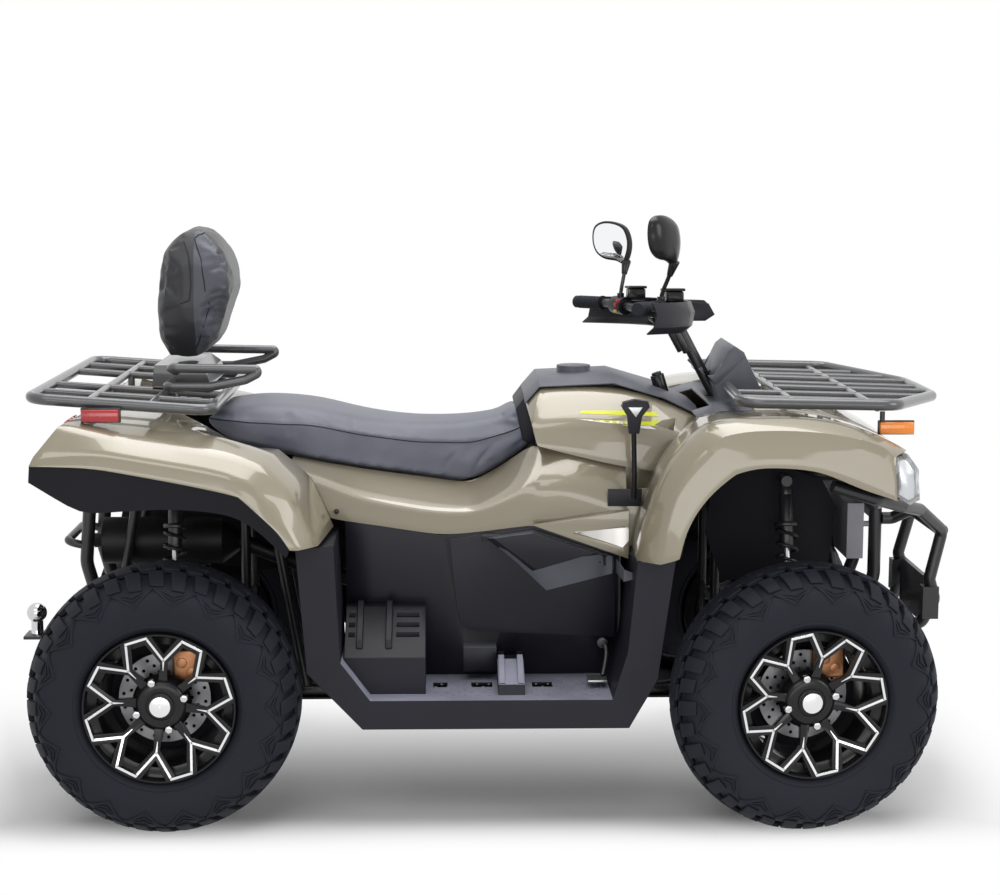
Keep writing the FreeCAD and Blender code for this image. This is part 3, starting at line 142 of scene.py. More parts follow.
def surface(name, colour, roughness, levels=None, wear=None, shades=None, gloss=None,
            grain=None, bump=(0.25, 0.0006)):
    """Material with one shader. Wear is a noise's scale and detail, and drives the shades,
    as shares of the colour, and the gloss, as two roughnesses. Grain is the texture under
    the bump, and bump its strength and distance."""
    material = bpy.data.materials.new(name)
    material.use_nodes = True
    tree = material.node_tree
    sockets = tree.nodes["Principled BSDF"].inputs
    sockets["Base Color"].default_value = (*colour, 1.0)
    sockets["Roughness"].default_value = roughness
    for socket, level in (levels or {}).items():
        sockets[socket].default_value = level
    if wear:
        value = texture(tree, "Noise", *wear)
        if shades:
            ramp = tree.nodes.new("ShaderNodeValToRGB")
            for stop, position, share in zip(ramp.color_ramp.elements, (0.3, 0.7), shades):
                stop.position = position
                stop.color = (*scaled(colour, share), 1.0)
            tree.links.new(value, ramp.inputs["Fac"])
            tree.links.new(ramp.outputs["Color"], sockets["Base Color"])
        if gloss:
            spread = map_range(tree, value, to_min=gloss[0], to_max=gloss[1])
            tree.links.new(spread.outputs["Result"], sockets["Roughness"])
    if grain:
        node = tree.nodes.new("ShaderNodeBump")
        node.inputs["Strength"].default_value, node.inputs["Distance"].default_value = bump
        tree.links.new(texture(tree, *grain), node.inputs["Height"])
        tree.links.new(node.outputs["Normal"], sockets["Normal"])
    return material


def plastic(name, colour, roughness, grain=900.0, strength=0.25):
    """Moulded plastic with a fine leather grain and faint wear."""
    return surface(name, colour, roughness, {"Specular IOR Level": 0.28}, (9.0, 4.0),
                   (0.85, 1.2), (roughness - 0.06, roughness + 0.08),
                   ("Noise", grain, 2.0), (strength, 0.0006))


def metal(name, colour, roughness, brushed=0.0, scale=260.0):
    """Bare or plated metal, brushed where asked."""
    return surface(name, colour, roughness, {"Metallic": 1.0}, (scale, 3.0),
                   gloss=(roughness * 0.8, roughness * 1.25),
                   grain=("Noise", scale, 3.0) if brushed else None, bump=(brushed, 0.0005))


def lens(name, colour, roughness=0.08, transmission=0.0):
    """Moulded lamp lens with vertical flutes."""
    return surface(name, colour, roughness,
                   {"Coat Weight": 0.6, "Transmission Weight": transmission, "IOR": 1.49},
                   grain=("Wave", 90.0), bump=(0.25, 0.001))


def vinyl(name, colour):
    """Seat vinyl with a fine pebble grain."""
    return surface(name, colour, 0.46, {"Sheen Weight": 0.15}, (7.0, 4.0), (0.85, 1.25),
                   (0.38, 0.54), ("Voronoi", 620.0), (0.2, 0.0006))


# Finishes by plain name: the material's name, colour, roughness and own settings
PLASTICS = {
    "gloss_black": ("gloss_black", (0.010, 0.010, 0.011), 0.2, 500.0, 0.03),
    "radiator": ("radiator_grey", (0.30, 0.30, 0.33), 0.45),
    # Floor studs: painted highlight, much lighter than the footwell plastic they belong to
    "stud_painted_highlight": ("stud_plastic", (0.22, 0.22, 0.25), 0.45),
    "piping": ("seam_piping", (0.010, 0.010, 0.012), 0.5),
    "spring_black": ("spring_black", (0.02, 0.02, 0.022), 0.32, 500.0, 0.05),
    "red_switch": ("red_switch", (0.42, 0.012, 0.016), 0.35, 500.0, 0.05),
    "yellow_switch": ("yellow_switch", (0.62, 0.36, 0.02), 0.35, 500.0, 0.05),
    "white_stripe": ("white_stripe", (0.78, 0.78, 0.74), 0.3, 500.0, 0.02),
    "yellow_stripe": ("yellow_stripe", (0.60, 0.62, 0.02), 0.3, 500.0, 0.02),
    # Up-facing faces of the footwell floor: painted highlight, a lighter copy of the footwell
    # plastic
    "floor_plastic": ("floor_plastic", (0.21, 0.215, 0.27), 0.45),
    # Up-facing faces above the footwell floor: painted shade, a darker copy of the footwell
    # plastic
    "edge_plastic": ("edge_plastic", (0.004, 0.004, 0.007), 0.45),
    "lit_plastic": ("lit_plastic", (0.085, 0.088, 0.105), 0.4),
}
METALS = {
    "steel": ("plain_steel", (0.50, 0.50, 0.50), 0.34, 0.1),
    "alloy": ("cast_alloy", (0.33, 0.33, 0.34), 0.5, 0.3),
    "iron": ("engine_iron", (0.10, 0.10, 0.105), 0.55, 0.35),
    "machined": ("machined_edge", (0.80, 0.80, 0.81), 0.22, 0.06, 900.0),
    "chrome": ("bright_chrome", (0.62, 0.62, 0.63), 0.1),
    "reflector": ("lamp_reflector", (0.72, 0.73, 0.75), 0.16),
    "disc_steel": ("disc_steel", (0.26, 0.26, 0.27), 0.36, 0.1),
    "exhaust": ("heat_black", (0.035, 0.035, 0.037), 0.5, 0.2),
    "silver_inset": ("silver_inset", (0.62, 0.60, 0.58), 0.3, 0.1, 60.0),
}
LENSES = {
    "red_lens": ("red_lens", (0.42, 0.006, 0.010)),
    "orange_lens": ("orange_lens", (0.80, 0.22, 0.006)),
    "clear_lens": ("clear_lens", (0.92, 0.94, 0.95), 0.04, 0.8),
}
VINYL_TONES = {"vinyl": ("seat_vinyl", 1.0), "vinyl_side": ("side_vinyl", 1.35),
               "back_vinyl": ("back_vinyl", 0.12), "back_strip": ("back_strip", 0.6)}


def make_materials(colours):
    """Every finish of the vehicle, by a plain name."""
    made = {
        "paint": surface("champagne_paint", colours.paint, 0.34,
                         {"Metallic": 0.15, "Coat Weight": 1.0, "Coat Roughness": 0.04},
                         (1400.0, 1.0), (0.93, 1.05), None, ("Noise", 60.0, 2.0),
                         (0.04, 0.002)),
        "powder": surface("powder_coat", (0.010, 0.010, 0.012), 0.38, {"Coat Weight": 0.15},
                          (14.0, 3.0), None, (0.32, 0.46), ("Noise", 420.0, 2.0),
                          (0.18, 0.0006)),
        "rack_paint": surface("rack_paint", (0.060, 0.061, 0.066), 0.3, {"Coat Weight": 0.6},
                              (300.0, 2.0), None, (0.26, 0.36), ("Noise", 300.0, 2.0),
                              (0.1, 0.0006)),
        "rubber": surface("tyre_rubber", colours.rubber, 0.72, {"Specular IOR Level": 0.3},
                          (18.0, 4.0), (0.8, 1.3), (0.62, 0.8), ("Noise", 700.0, 2.0),
                          (0.22, 0.0008)),
        "mirror": surface("mirror_glass", (0.9, 0.91, 0.92), 0.02, {"Metallic": 1.0}),
        "plastic": plastic("footwell_plastic", colours.plastic, 0.5),
        "smooth_plastic": plastic("cover_plastic", scaled(colours.plastic, 0.8), 0.36,
                                  1200.0, 0.12),
        "liner": plastic("liner_plastic", scaled(colours.plastic, 0.55), 0.7),
        "calliper": metal("calliper_bronze", colours.calliper, 0.42, 0.15),
    }
    for make, table in ((plastic, PLASTICS), (metal, METALS), (lens, LENSES)):
        made.update({finish: make(*entry) for finish, entry in table.items()})
    for finish, (name, share) in VINYL_TONES.items():
        made[finish] = vinyl(name, scaled(colours.vinyl, share))
    return made


FINISHES = {}

CORNERS = ("front_left", "front_right", "rear_left", "rear_right")
NODE_FINISHES = {
    "rack_paint": ("front_rack", "rear_rack", "backrest_mount"),
    "powder": ("frame", "bumper", "suspension_arms", "shock_absorbers", "steering_stem",
               "handlebar"),
    "paint": ("front_body", "rear_body", "tank_shell", "side_panels", "infill_panels"),
    "plastic": ("footwell_left", "footwell_right", "side_covers", "skid_plate",
                "front_grille", "gear_lever"),
    "smooth_plastic": ("tank_top_cover", "dash_pod", "hand_controls", "hand_guards", "bar_pod",
                       "mirrors"),
    "liner": ("arch_liners", "tail_panel"),
    "vinyl": ("seat", "backrest_pad"),
    "iron": ("engine_block",),
    "alloy": ("drive_cases", "knuckles_rear", "knuckle_front_left", "knuckle_front_right"),
    "steel": ("drive_shafts", "tie_rod_left", "tie_rod_right",
              *("brake_disc_" + corner for corner in CORNERS)),
    "exhaust": ("exhaust",),
    "chrome": ("hitch",),
    "red_lens": ("tail_lamps", "rear_reflectors"),
    "orange_lens": ("side_reflectors",),
    "clear_lens": ("headlamps",),
    "radiator": ("radiator",),
    "rubber": ("grips", *("tyre_" + corner for corner in CORNERS)),
    "gloss_black": tuple("wheel_" + corner for corner in CORNERS),
}


class QUAD_OT_finishes(bpy.types.Operator):
    """Make the materials and put them on the CAD nodes"""
    bl_idname = "quad.finishes"
    bl_label = "Finishes"

    def execute(self, context):
        FINISHES.update(make_materials(context.scene.quad_colours))
        for finish, nodes in NODE_FINISHES.items():
            for node in nodes:
                materials = frame["nodes"][node].data.materials
                materials.clear()
                materials.append(FINISHES[finish])
        return {"FINISHED"}


# Shaping and mounting pieces

def only(piece):
    """Select one piece and nothing else."""
    bpy.ops.object.select_all(action="DESELECT")
    piece.select_set(True)
    bpy.context.view_layer.objects.active = piece
    return piece


@contextmanager
def editing(piece, action="SELECT"):
    """Edit mode with all of a piece's mesh selected, or none of it."""
    only(piece)
    bpy.ops.object.mode_set(mode="EDIT")
    bpy.ops.mesh.select_mode(type="FACE")
    bpy.ops.mesh.select_all(action=action)
    yield
    bpy.ops.object.mode_set(mode="OBJECT")


def pick_faces(piece, test):
    """Select the faces that pass a test, in edit mode."""
    mesh = bmesh.from_edit_mesh(piece.data)
    for face in mesh.faces:
        if test(face.calc_center_median(), face):
            face.select_set(True)
    mesh.select_flush_mode()
    bmesh.update_edit_mesh(piece.data)


def face_outwards(piece):
    """Turn every face's normal outwards."""
    with editing(piece):
        bpy.ops.mesh.normals_make_consistent(inside=False)


def apply_modifier(piece, kind, **settings):
    """Add one modifier with its settings and apply it."""
    only(piece)
    modifier = piece.modifiers.new(kind.lower(), kind)
    for name, value in settings.items():
        setattr(modifier, name, value)
    bpy.ops.object.modifier_apply(modifier=modifier.name)


def round_edges(piece, width, segments=2, angle=30.0):
    apply_modifier(piece, "BEVEL", width=width, segments=segments, limit_method="ANGLE",
                   angle_limit=math.radians(angle))


def settle():
    """Put the selected object's place, turn and scale in its mesh."""
    bpy.ops.object.transform_apply(location=True, rotation=True, scale=True)
    return bpy.context.object


def primitive(add, **settings):
    """Add a primitive with nothing else selected."""
    bpy.ops.object.select_all(action="DESELECT")
    add(**settings)
    return settle()


def duplicate(piece):
    """Copy of a piece with a mesh of its own."""
    copy = piece.copy()
    copy.data = piece.data.copy()
    bpy.context.collection.objects.link(copy)
    return copy


def mirrored(piece, matrix):
    """Mirror a piece's mesh, with its faces turned outwards again."""
    piece.data.transform(matrix)
    piece.data.flip_normals()
    return piece


def mount(piece, name, finish, body, smooth=35.0):
    """Put a finished piece's place in its mesh, and give it its finish and its body."""
    only(piece)
    settle()
    bpy.ops.object.shade_smooth_by_angle(angle=math.radians(smooth))
    piece.name = name
    piece.data.name = name
    piece.data.materials.clear()
    piece.data.materials.append(FINISHES[finish])
    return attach(piece, body)


def twin(piece, name, body):
    """Mirror image of a mounted piece, with a mesh of its own."""
    copy = mirrored(duplicate(piece), LEFT_TO_RIGHT)
    copy.name = name
    copy.data.name = name
    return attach(copy, body)


def both_sides(piece, name, finish, body, **settings):
    """Mount a piece of the left side and its mirror image."""
    left = mount(piece, name + "_left", finish, body, **settings)
    return left, twin(left, name + "_right", body)


def block(low, high, bevel=0.0, segments=2):
    """Box between two corners in millimetres, with rounded edges."""
    piece = primitive(bpy.ops.mesh.primitive_cube_add, size=1.0,
                      location=[(a + b) / 2 * MM for a, b in zip(low, high)],
                      scale=[(b - a) * MM for a, b in zip(low, high)])
    if bevel:
        round_edges(piece, bevel * MM, segments)
    return piece


def rod(start, end, radius, corners=20, bevel=0.0):
    """Round bar between two points in millimetres."""
    start, end = Vector(start) * MM, Vector(end) * MM
    piece = primitive(bpy.ops.mesh.primitive_cylinder_add, vertices=corners,
                      radius=radius * MM, depth=(end - start).length,
                      location=(start + end) / 2,
                      rotation=(end - start).to_track_quat("Z", "Y").to_euler())
    if bevel:
        round_edges(piece, bevel * MM, 2)
    return piece


def pipe(points, radius, corners=4):
    """Round bar along a smooth line through control points in millimetres."""
    curve = bpy.data.curves.new("pipe", "CURVE")
    curve.dimensions = "3D"
    curve.bevel_depth = radius * MM
    curve.bevel_resolution = corners
    curve.use_fill_caps = True
    spline = curve.splines.new("NURBS")
    spline.points.add(len(points) - 1)
    for control, point in zip(spline.points, points):
        control.co = (*(Vector(point) * MM), 1.0)
    spline.order_u = 3
    spline.use_endpoint_u = True
    spline.resolution_u = 8
    piece = bpy.data.objects.new("pipe", curve)
    bpy.context.collection.objects.link(piece)
    only(piece)
    bpy.ops.object.convert(target="MESH")
    return bpy.context.object


def joined(pieces):
    """One mesh from several pieces."""
    bpy.ops.object.select_all(action="DESELECT")
    for piece in pieces:
        piece.select_set(True)
    bpy.context.view_layer.objects.active = pieces[0]
    bpy.ops.object.join()
    return bpy.context.object


def outline_slab(outline, plane, start, end, bevel=0.0, segments=2):
    """Flat piece with a drawn outline in millimetres, in the XZ, YZ or XY plane, extruded
    from one level to another."""
    piece = primitive(bpy.ops.mesh.primitive_circle_add, vertices=len(outline), radius=1.0,
                      fill_type="NGON")
    across = "XYZ".index((set("XYZ") - set(plane)).pop())
    for corner, point in zip(piece.data.vertices, outline):
        place = list(point)
        place.insert(across, start)
        corner.co = Vector(place) * MM
    away = [0.0, 0.0, 0.0]
    away[across] = (end - start) * MM
    with editing(piece):
        bpy.ops.mesh.extrude_region_move(TRANSFORM_OT_translate={"value": away})
    face_outwards(piece)
    if bevel:
        round_edges(piece, bevel * MM, segments)
    return piece


def merged_copy(node):
    """Copy of a CAD node with its corners merged. The node itself is left as it is."""
    piece = bpy.data.objects.new(node + "_copy", frame["nodes"][node].data.copy())
    bpy.context.collection.objects.link(piece)
    only(piece)
    bpy.ops.mesh.customdata_custom_splitnormals_clear()
    with editing(piece):
        bpy.ops.mesh.remove_doubles(threshold=0.00002)
    return piece


def rounded_copy(node, width, segments=2):
    """Copy of a CAD node with its flat faces made whole and its edges rounded."""
    piece = merged_copy(node)
    with editing(piece):
        bpy.ops.mesh.dissolve_limited(angle_limit=math.radians(0.8))
    round_edges(piece, width * MM, segments, angle=28.0)
    return piece


def subdivided_copy(node, rim_angle, line_angle, line_strength):
    """Copy of a CAD node, smooth between its rims and its body lines."""
    piece = merged_copy(node)
    with editing(piece):
        bpy.ops.mesh.tris_convert_to_quads(face_threshold=math.radians(40),
                                           shape_threshold=math.radians(130))
    mesh = bmesh.new()
    mesh.from_mesh(piece.data)
    floats = mesh.edges.layers.float
    layer = floats.get("crease_edge") or floats.new("crease_edge")
    for edge in mesh.edges:
        angle = math.degrees(edge.calc_face_angle(math.pi))
        if angle > rim_angle:
            edge[layer] = 1.0
        elif angle > line_angle:
            edge[layer] = line_strength
    mesh.to_mesh(piece.data)
    mesh.free()
    apply_modifier(piece, "SUBSURF", levels=2, render_levels=2)
    return piece


# Bodywork

def smoothed_copy(node, line_strength, edge=0.9):
    """Copy of a CAD panel as a smooth moulding with crisp body lines and eased rims."""
    piece = subdivided_copy(node, rim_angle=62.0, line_angle=20.0,
                            line_strength=line_strength)
    if edge:
        round_edges(piece, edge * MM, angle=55.0)
    return piece


# Flat painted plates: outline, and the two levels between which they lie
PLATES = {
    "knee_panel": ([(322, 764), (399, 772), (398, 765), (393, 700), (372, 640), (352, 604),
                    (322, 640)], 296, 300),
    "tank_side": ([(290, 740), (300, 850), (360, 880), (430, 925), (462, 930), (455, 880),
                   (428, 830), (404, 740)], 234, 238),
}
# Painted shade: dark sheets inboard of the wheels, between two levels in millimetres, for the dark
# seen through the wheels, which is partly shade and partly the parts behind them
SHADE_SHEET_LEVELS = (168, 171)
FRONT_SHADE_SHEET = [(545, 640), (560, 760), (640, 790), (742, 800), (830, 770), (868, 700),
               (850, 560), (740, 525), (590, 520)]
REAR_SHADE_SHEET = [(-930, 610), (-905, 738), (-800, 742), (-640, 745), (-490, 705), (-455, 600),
              (-455, 490), (-560, 480), (-720, 500), (-880, 530)]
COVER_FACET = [(38, 630), (86, 589), (152, 525), (345, 575), (345, 591), (287, 614),
               (235, 609), (117, 574), (57, 623)]


def paint_light_and_shade(piece, finish, test):
    """Give the faces that pass a test a second, lighter or darker material: painted highlight and
    painted shade by the way the faces look.
    """
    piece.data.materials.append(FINISHES[finish])
    for face in piece.data.polygons:
        if test(face):
            face.material_index = len(piece.data.materials) - 1


class QUAD_OT_panels(bpy.types.Operator):
    """Mould the painted panels, the covers and the arch liners"""
    bl_idname = "quad.panels"
    bl_label = "Body panels"

    def execute(self, context):
        for node, strength in (("front_body", 0.55), ("rear_body", 0.6), ("side_panels", 0.4),
                               ("tank_shell", 0.72)):
            panel = smoothed_copy(node, line_strength=strength)
            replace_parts(mount(panel, node + "_moulded", "paint", CHASSIS, smooth=38.0), node)
        liner = smoothed_copy("arch_liners", line_strength=0.3, edge=0.0)
        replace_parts(mount(liner, "arch_liners_moulded", "liner", CHASSIS), "arch_liners")
        for node, finish, width in (("infill_panels", "paint", 2.5),
                                    ("side_covers", "smooth_plastic", 3.0),
                                    ("tank_top_cover", "lit_plastic", 2.0),
                                    ("dash_pod", "lit_plastic", 3.0),
                                    ("front_grille", "plastic", 1.5),
                                    ("tail_panel", "liner", 1.5)):
            cover = rounded_copy(node, width)
            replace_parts(mount(cover, node + "_moulded", finish, CHASSIS), node)
        cover = bpy.data.objects["side_covers_moulded"]
        # Up-facing faces of the side covers in the lighter plastic: painted highlight
        paint_light_and_shade(cover, "lit_plastic", lambda face: face.normal.z > 0.12)
        for name, (outline, start, end) in PLATES.items():
            plate = outline_slab(outline, "XZ", start, end, bevel=1.2)
            both_sides(plate, name, "paint", CHASSIS)
        for side, name in SIDES:
            facet = on_panel(COVER_FACET, cover, side, lift=1.0, thick=2.0)
            mount(facet, "cover_facet_" + name, "lit_plastic", CHASSIS)
        # Dark sheets behind both front wheels, and on the left side behind the rear wheels:
        # painted shade
        shade_sheet = outline_slab(FRONT_SHADE_SHEET, "XZ", *SHADE_SHEET_LEVELS, bevel=1.0)
        both_sides(shade_sheet, "front_shade_sheet", "liner", CHASSIS)
        shade_sheet = outline_slab(REAR_SHADE_SHEET, "XZ", *SHADE_SHEET_LEVELS, bevel=1.0)
        mount(shade_sheet, "rear_shade_sheet", "liner", CHASSIS)
        return {"FINISHED"}


# Tyres. A wheel's pieces are drawn about the Z axis with the outer face upwards.

TREAD_STEPS = 96
LUGS = 36


def wheel_place(end, side):
    """Matrix that stands a wheel's piece on its axle line, with the front pair steered."""
    offset = WHEEL_FACE - RIM_HALF[end]
    fore = AXLE if end == "front" else -AXLE
    place = Matrix.Translation((fore * MM, -offset * MM, WHEEL_RADIUS * MM)) @ Matrix.Rotation(
        math.radians(90), 4, "X")
    if side == "left":
        place = LEFT_TO_RIGHT @ place
    if end == "front":
        kingpin = Vector((fore * MM, KINGPIN * MM * (1 if side == "left" else -1), 0.0))
        turn = Matrix.Rotation(PARKED_STEER, 4, "Z")
        place = Matrix.Translation(kingpin) @ turn @ Matrix.Translation(-kingpin) @ place
    return place


def set_on_wheel(master, end, side, name, finish, node, body=None):
    """Copy of a wheel's piece at one corner, riding on that wheel or on its carrier."""
    piece = duplicate(master)
    piece.data.transform(wheel_place(end, side))
    if side == "left":
        piece.data.flip_normals()
    mount(piece, f"{name}_{end}_{side}", finish, body or f"road_wheel_{end}_{side}")
    if node:
        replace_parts(piece, f"{node}_{end}_{side}")


def turned_ring(profile, steps=TREAD_STEPS):
    """Closed ring from an outline of (radius, height) pairs in millimetres."""
    ring = primitive(bpy.ops.mesh.primitive_circle_add, vertices=len(profile), radius=1.0,
                     fill_type="NOTHING")
    for corner, (radius, height) in zip(ring.data.vertices, profile):
        corner.co = Vector((radius, 0.0, height)) * MM
    with editing(ring):
        bpy.ops.mesh.spin(steps=steps, angle=math.tau, center=(0.0, 0.0, 0.0),
                          axis=(0.0, 0.0, 1.0))
        bpy.ops.mesh.select_all(action="SELECT")
        bpy.ops.mesh.remove_doubles(threshold=0.00001)
        bpy.ops.mesh.normals_make_consistent(inside=False)
    return ring


class TyreForm:
    """Outer line of a tyre's carcass, from the sidewall to the middle of the tread."""

    def __init__(self, half):
        self.line = [(204, half - 7), (226, half - 3), (248, half - 2.5), (264, half - 7),
                     (276, half - 17), (287, half * 0.66), (297, half * 0.3), (300.5, 0),
                     (297, half * -0.3), (287, half * -0.66)]
        self.at = [0.0]
        for (r0, h0), (r1, h1) in zip(self.line, self.line[1:]):
            self.at.append(self.at[-1] + math.hypot(r1 - r0, h1 - h0))

    def place(self, angle, along, lift):
        """Point at an angle in degrees, a distance along the line and a height above it."""
        index = 0
        while index < len(self.at) - 2 and along > self.at[index + 1]:
            index += 1
        share = (along - self.at[index]) / (self.at[index + 1] - self.at[index])
        (r0, h0), (r1, h1) = self.line[index], self.line[index + 1]
        length = math.hypot(r1 - r0, h1 - h0)
        out = Vector(((h0 - h1) / length, (r1 - r0) / length))
        radius = r0 + (r1 - r0) * share + out.x * lift
        height = h0 + (h1 - h0) * share + out.y * lift
        turn = math.radians(angle)
        return Vector((radius * math.cos(turn), radius * math.sin(turn), height)) * MM


def mixed(low, high, share):
    """Numbers part of the way between two pairs."""
    return [a + (b - a) * share for a, b in zip(low, high)]


def tread_block(form, edges, steps, lift, depth=12.0, bevel=1.6):
    """Raised block on the carcass. Edges holds the start and end of its two long edges, as
    (angle, distance) pairs, and lift its height at each end."""
    (left_start, left_end), (right_start, right_end) = edges
    piece = primitive(bpy.ops.mesh.primitive_grid_add, x_subdivisions=2, y_subdivisions=steps,
                      size=2.0)
    for corner in piece.data.vertices:
        across, forward = (corner.co.x + 1) / 2, (corner.co.y + 1) / 2
        place = mixed(mixed(left_start, right_start, across),
                      mixed(left_end, right_end, across), forward)
        corner.co = form.place(*place, lift[0] + (lift[1] - lift[0]) * forward)
    outwards = form.place(*left_start, 1.0) - form.place(*left_start, 0.0)
    if piece.data.polygons[0].normal.dot(outwards) < 0:
        piece.data.flip_normals()
    apply_modifier(piece, "SOLIDIFY", thickness=depth * MM, offset=-1.0)
    face_outwards(piece)
    round_edges(piece, bevel * MM, segments=1, angle=40.0)
    return piece


def around(master, count, start=0.0):
    """Copies of a piece round the Z axis, joined."""
    copies = [duplicate(master) for _ in range(count - 1)] + [master]
    for index, copy in enumerate(copies):
        turn = math.radians(start + 360.0 * index / count)
        copy.data.transform(Matrix.Rotation(turn, 4, "Z"))
    return joined(copies)


# Lugs: how far past the shoulder they start, and the angles of both edges at either end
SHOULDER_LUGS = ((-4, (-3.4, 3.0), (-1.6, 4.8)), (5, (6.6, 12.8), (8.4, 14.6)))
CROWN_LUGS = (((1.5, 8.6), (4.5, 12.0)), ((11.5, 18.4), (14.5, 22.0)))
SHOULDER_SHARE = 0.46
LUG_FOOT = 5.0
LUG_HEIGHT = 13.8
# Moulded zigzags: how far up the sidewall they start, and how wide they are
ZIGZAGS = ((0.0, 6.5), (14.0, 3.6), (23.0, 3.6))
ZIGZAG_ANGLE = 10.0
ZIGZAG_HEIGHT = 3.3
FAR_SIDE_TURN = math.radians(4.0)


def tyre_tread(half, far_side):
    """Blocks and moulded zigzags of one half of a tyre."""
    form = TyreForm(half)
    shoulder, crown = form.at[4], form.at[7]
    inner = shoulder + half * SHOULDER_SHARE
    lugs = []
    for past, start, end in SHOULDER_LUGS:
        edges = [((start[edge], shoulder + past), (end[edge], inner)) for edge in (0, 1)]
        lugs.append(tread_block(form, edges, steps=6, lift=(LUG_FOOT, LUG_HEIGHT)))
    for start, end in CROWN_LUGS:
        edges = [((start[edge], inner + 9), (end[edge], crown + 14)) for edge in (0, 1)]
        lugs.append(tread_block(form, edges, steps=3, lift=(LUG_HEIGHT, LUG_HEIGHT)))
    rings = [around(lug, LUGS // 2) for lug in lugs]
    for shift, width in ZIGZAGS:
        foot, top = form.at[1] + 12 + shift, shoulder - 4
        legs = []
        for ends in (((0.0, foot), (ZIGZAG_ANGLE, top)), ((-ZIGZAG_ANGLE, top), (0.0, foot))):
            edges = ends, [(angle, along + width) for angle, along in ends]
            legs.append(tread_block(form, edges, steps=4, lift=(ZIGZAG_HEIGHT, ZIGZAG_HEIGHT),
                                    depth=6.0, bevel=0.8))
        rings.append(around(joined(legs), LUGS // 2, start=1.5))
    tread = joined(rings)
    if far_side:
        tread.data.transform(Matrix.Rotation(FAR_SIDE_TURN, 4, "Z"))
        mirrored(tread, UPSIDE_DOWN)
    return tread


def tyre_carcass(half, rim_half):
    """Smooth casing with a bead bulge and two moulded rings on each sidewall."""
    side = [(RIM_RADIUS - 6, rim_half - 30), (RIM_RADIUS + 1.5, rim_half - 14),
            (RIM_RADIUS + 6, rim_half - 7), (RIM_RADIUS + 14, half - 10),
            (RIM_RADIUS + 16, half - 8), (RIM_RADIUS + 18, half - 8),
            (RIM_RADIUS + 20, half - 9.5)]
    side += TyreForm(half).line[:7]
    return turned_ring(side + [(300, 0)] + [(radius, -height)
                                            for radius, height in reversed(side)])


class QUAD_OT_tyres(bpy.types.Operator):
    """Mould the four tyres with their lugs and sidewall zigzags"""
    bl_idname = "quad.tyres"
    bl_label = "Tyres"

    def execute(self, context):
        for end in ("front", "rear"):
            half = TYRE_HALF[end]
            tyre = joined([tyre_carcass(half, RIM_HALF[end]),
                           tyre_tread(half, far_side=False), tyre_tread(half, far_side=True)])
            for side in ("left", "right"):
                set_on_wheel(tyre, end, side, "treaded_tyre", "rubber", "tyre")
            bpy.data.objects.remove(tyre)
        return {"FINISHED"}


# Rims

SPOKES = 8
FORK_RADIUS = 105.0
ROOT_RADIUS = 50.0
SPOKE_DEPTH = 16.0
SPOKE_BAR = 7.0
BAR_ANGLE = 8.25
FLUTE = 0.955
HUB_HEIGHT = 28
EDGE_LINE = 5.6


def polar(radius, degrees):
    """Point at a radius and an angle."""
    return radius * math.cos(math.radians(degrees)), radius * math.sin(math.radians(degrees))


def dished(piece, face):
    """Lean a spoke back towards the hub about its tips."""
    tip = TIP_RADIUS * math.cos(math.radians(TIP_ANGLE))
    dish = math.asin(HUB_DISH / (tip - ROOT_RADIUS))
    pivot = Matrix.Translation(Vector((tip, 0.0, face)) * MM)
    piece.data.transform(pivot @ Matrix.Rotation(-dish, 4, "Y") @ pivot.inverted())
    return piece


def spoke_outline():
    """Y shape from the hub to two tips on the rim."""
    tip_x, tip_y = polar(TIP_RADIUS, TIP_ANGLE)
    bar = SPOKE_BAR
    side = bar / math.cos(math.atan2(tip_x - FORK_RADIUS, tip_y))
    half = [(ROOT_RADIUS, bar + 4), (FORK_RADIUS - 8, bar), (tip_x - side, tip_y + bar),
            (tip_x + 4, tip_y), (tip_x + 4, tip_y - side)]
    return ([(x, -y) for x, y in half] + [(FORK_RADIUS + side + 4, 0)]
            + list(reversed(half)))


def edge_line(start, end, face, end_width=EDGE_LINE):
    """Machined strip between two points on the spokes' face."""
    start, end = Vector(start), Vector(end)
    way = (end - start).normalized()
    start, end = start - way * EDGE_LINE * 0.4, end + way * end_width * 0.4
    across = Vector((-way.y, way.x))
    corners = [start - across * EDGE_LINE / 2, end - across * end_width / 2,
               end + across * end_width / 2, start + across * EDGE_LINE / 2]
    return outline_slab(corners, "XY", face - 1.0, face + 0.5, bevel=0.3, segments=1)


def rim_barrel(face):
    """Barrel with a rolled outer lip and a stepped bead seat."""
    outer = RIM_RADIUS
    barrel = RIM_RADIUS - 22
    return turned_ring([
        (barrel - 7, -face), (outer - 2, -face), (outer, -face + 2), (outer, -face + 7),
        (barrel, -face + 9), (barrel, face - 29), (outer - 1.5, face - 26), (outer, face - 20),
        (outer, face - 2), (outer - 1.2, face), (outer - 4.4, face), (outer - 5.6, face - 2),
        (outer - 8, face - 20), (outer - 14, face - 25), (barrel - 7, face - 28)])


def spoked_centre(face, phase):
    """Eight forked spokes, the bars between their tips and the hub."""
    fork = outline_slab(spoke_outline(), "XY", face - SPOKE_DEPTH, face, bevel=1.2)
    forks = around(dished(fork, face), SPOKES, phase + 180 / SPOKES)
    chord_x, chord_y = polar(TIP_RADIUS, BAR_ANGLE)
    tip_bar = block((chord_x - SPOKE_BAR, -chord_y - 2, face - SPOKE_DEPTH),
                    (chord_x + 3, chord_y + 2, face), bevel=1.0)
    bars = around(tip_bar, SPOKES, phase)
    hub = turned_ring([(0.2, face - 62), (66, face - 62), (68, face - 58), (62, face - 44),
                       (52, face - 32), (48, face - 30), (34, face - 30), (33, face - 33),
                       (30, face - 33), (29, face - 30), (0.2, face - 30)], 48)
    return joined([forks, bars, hub])


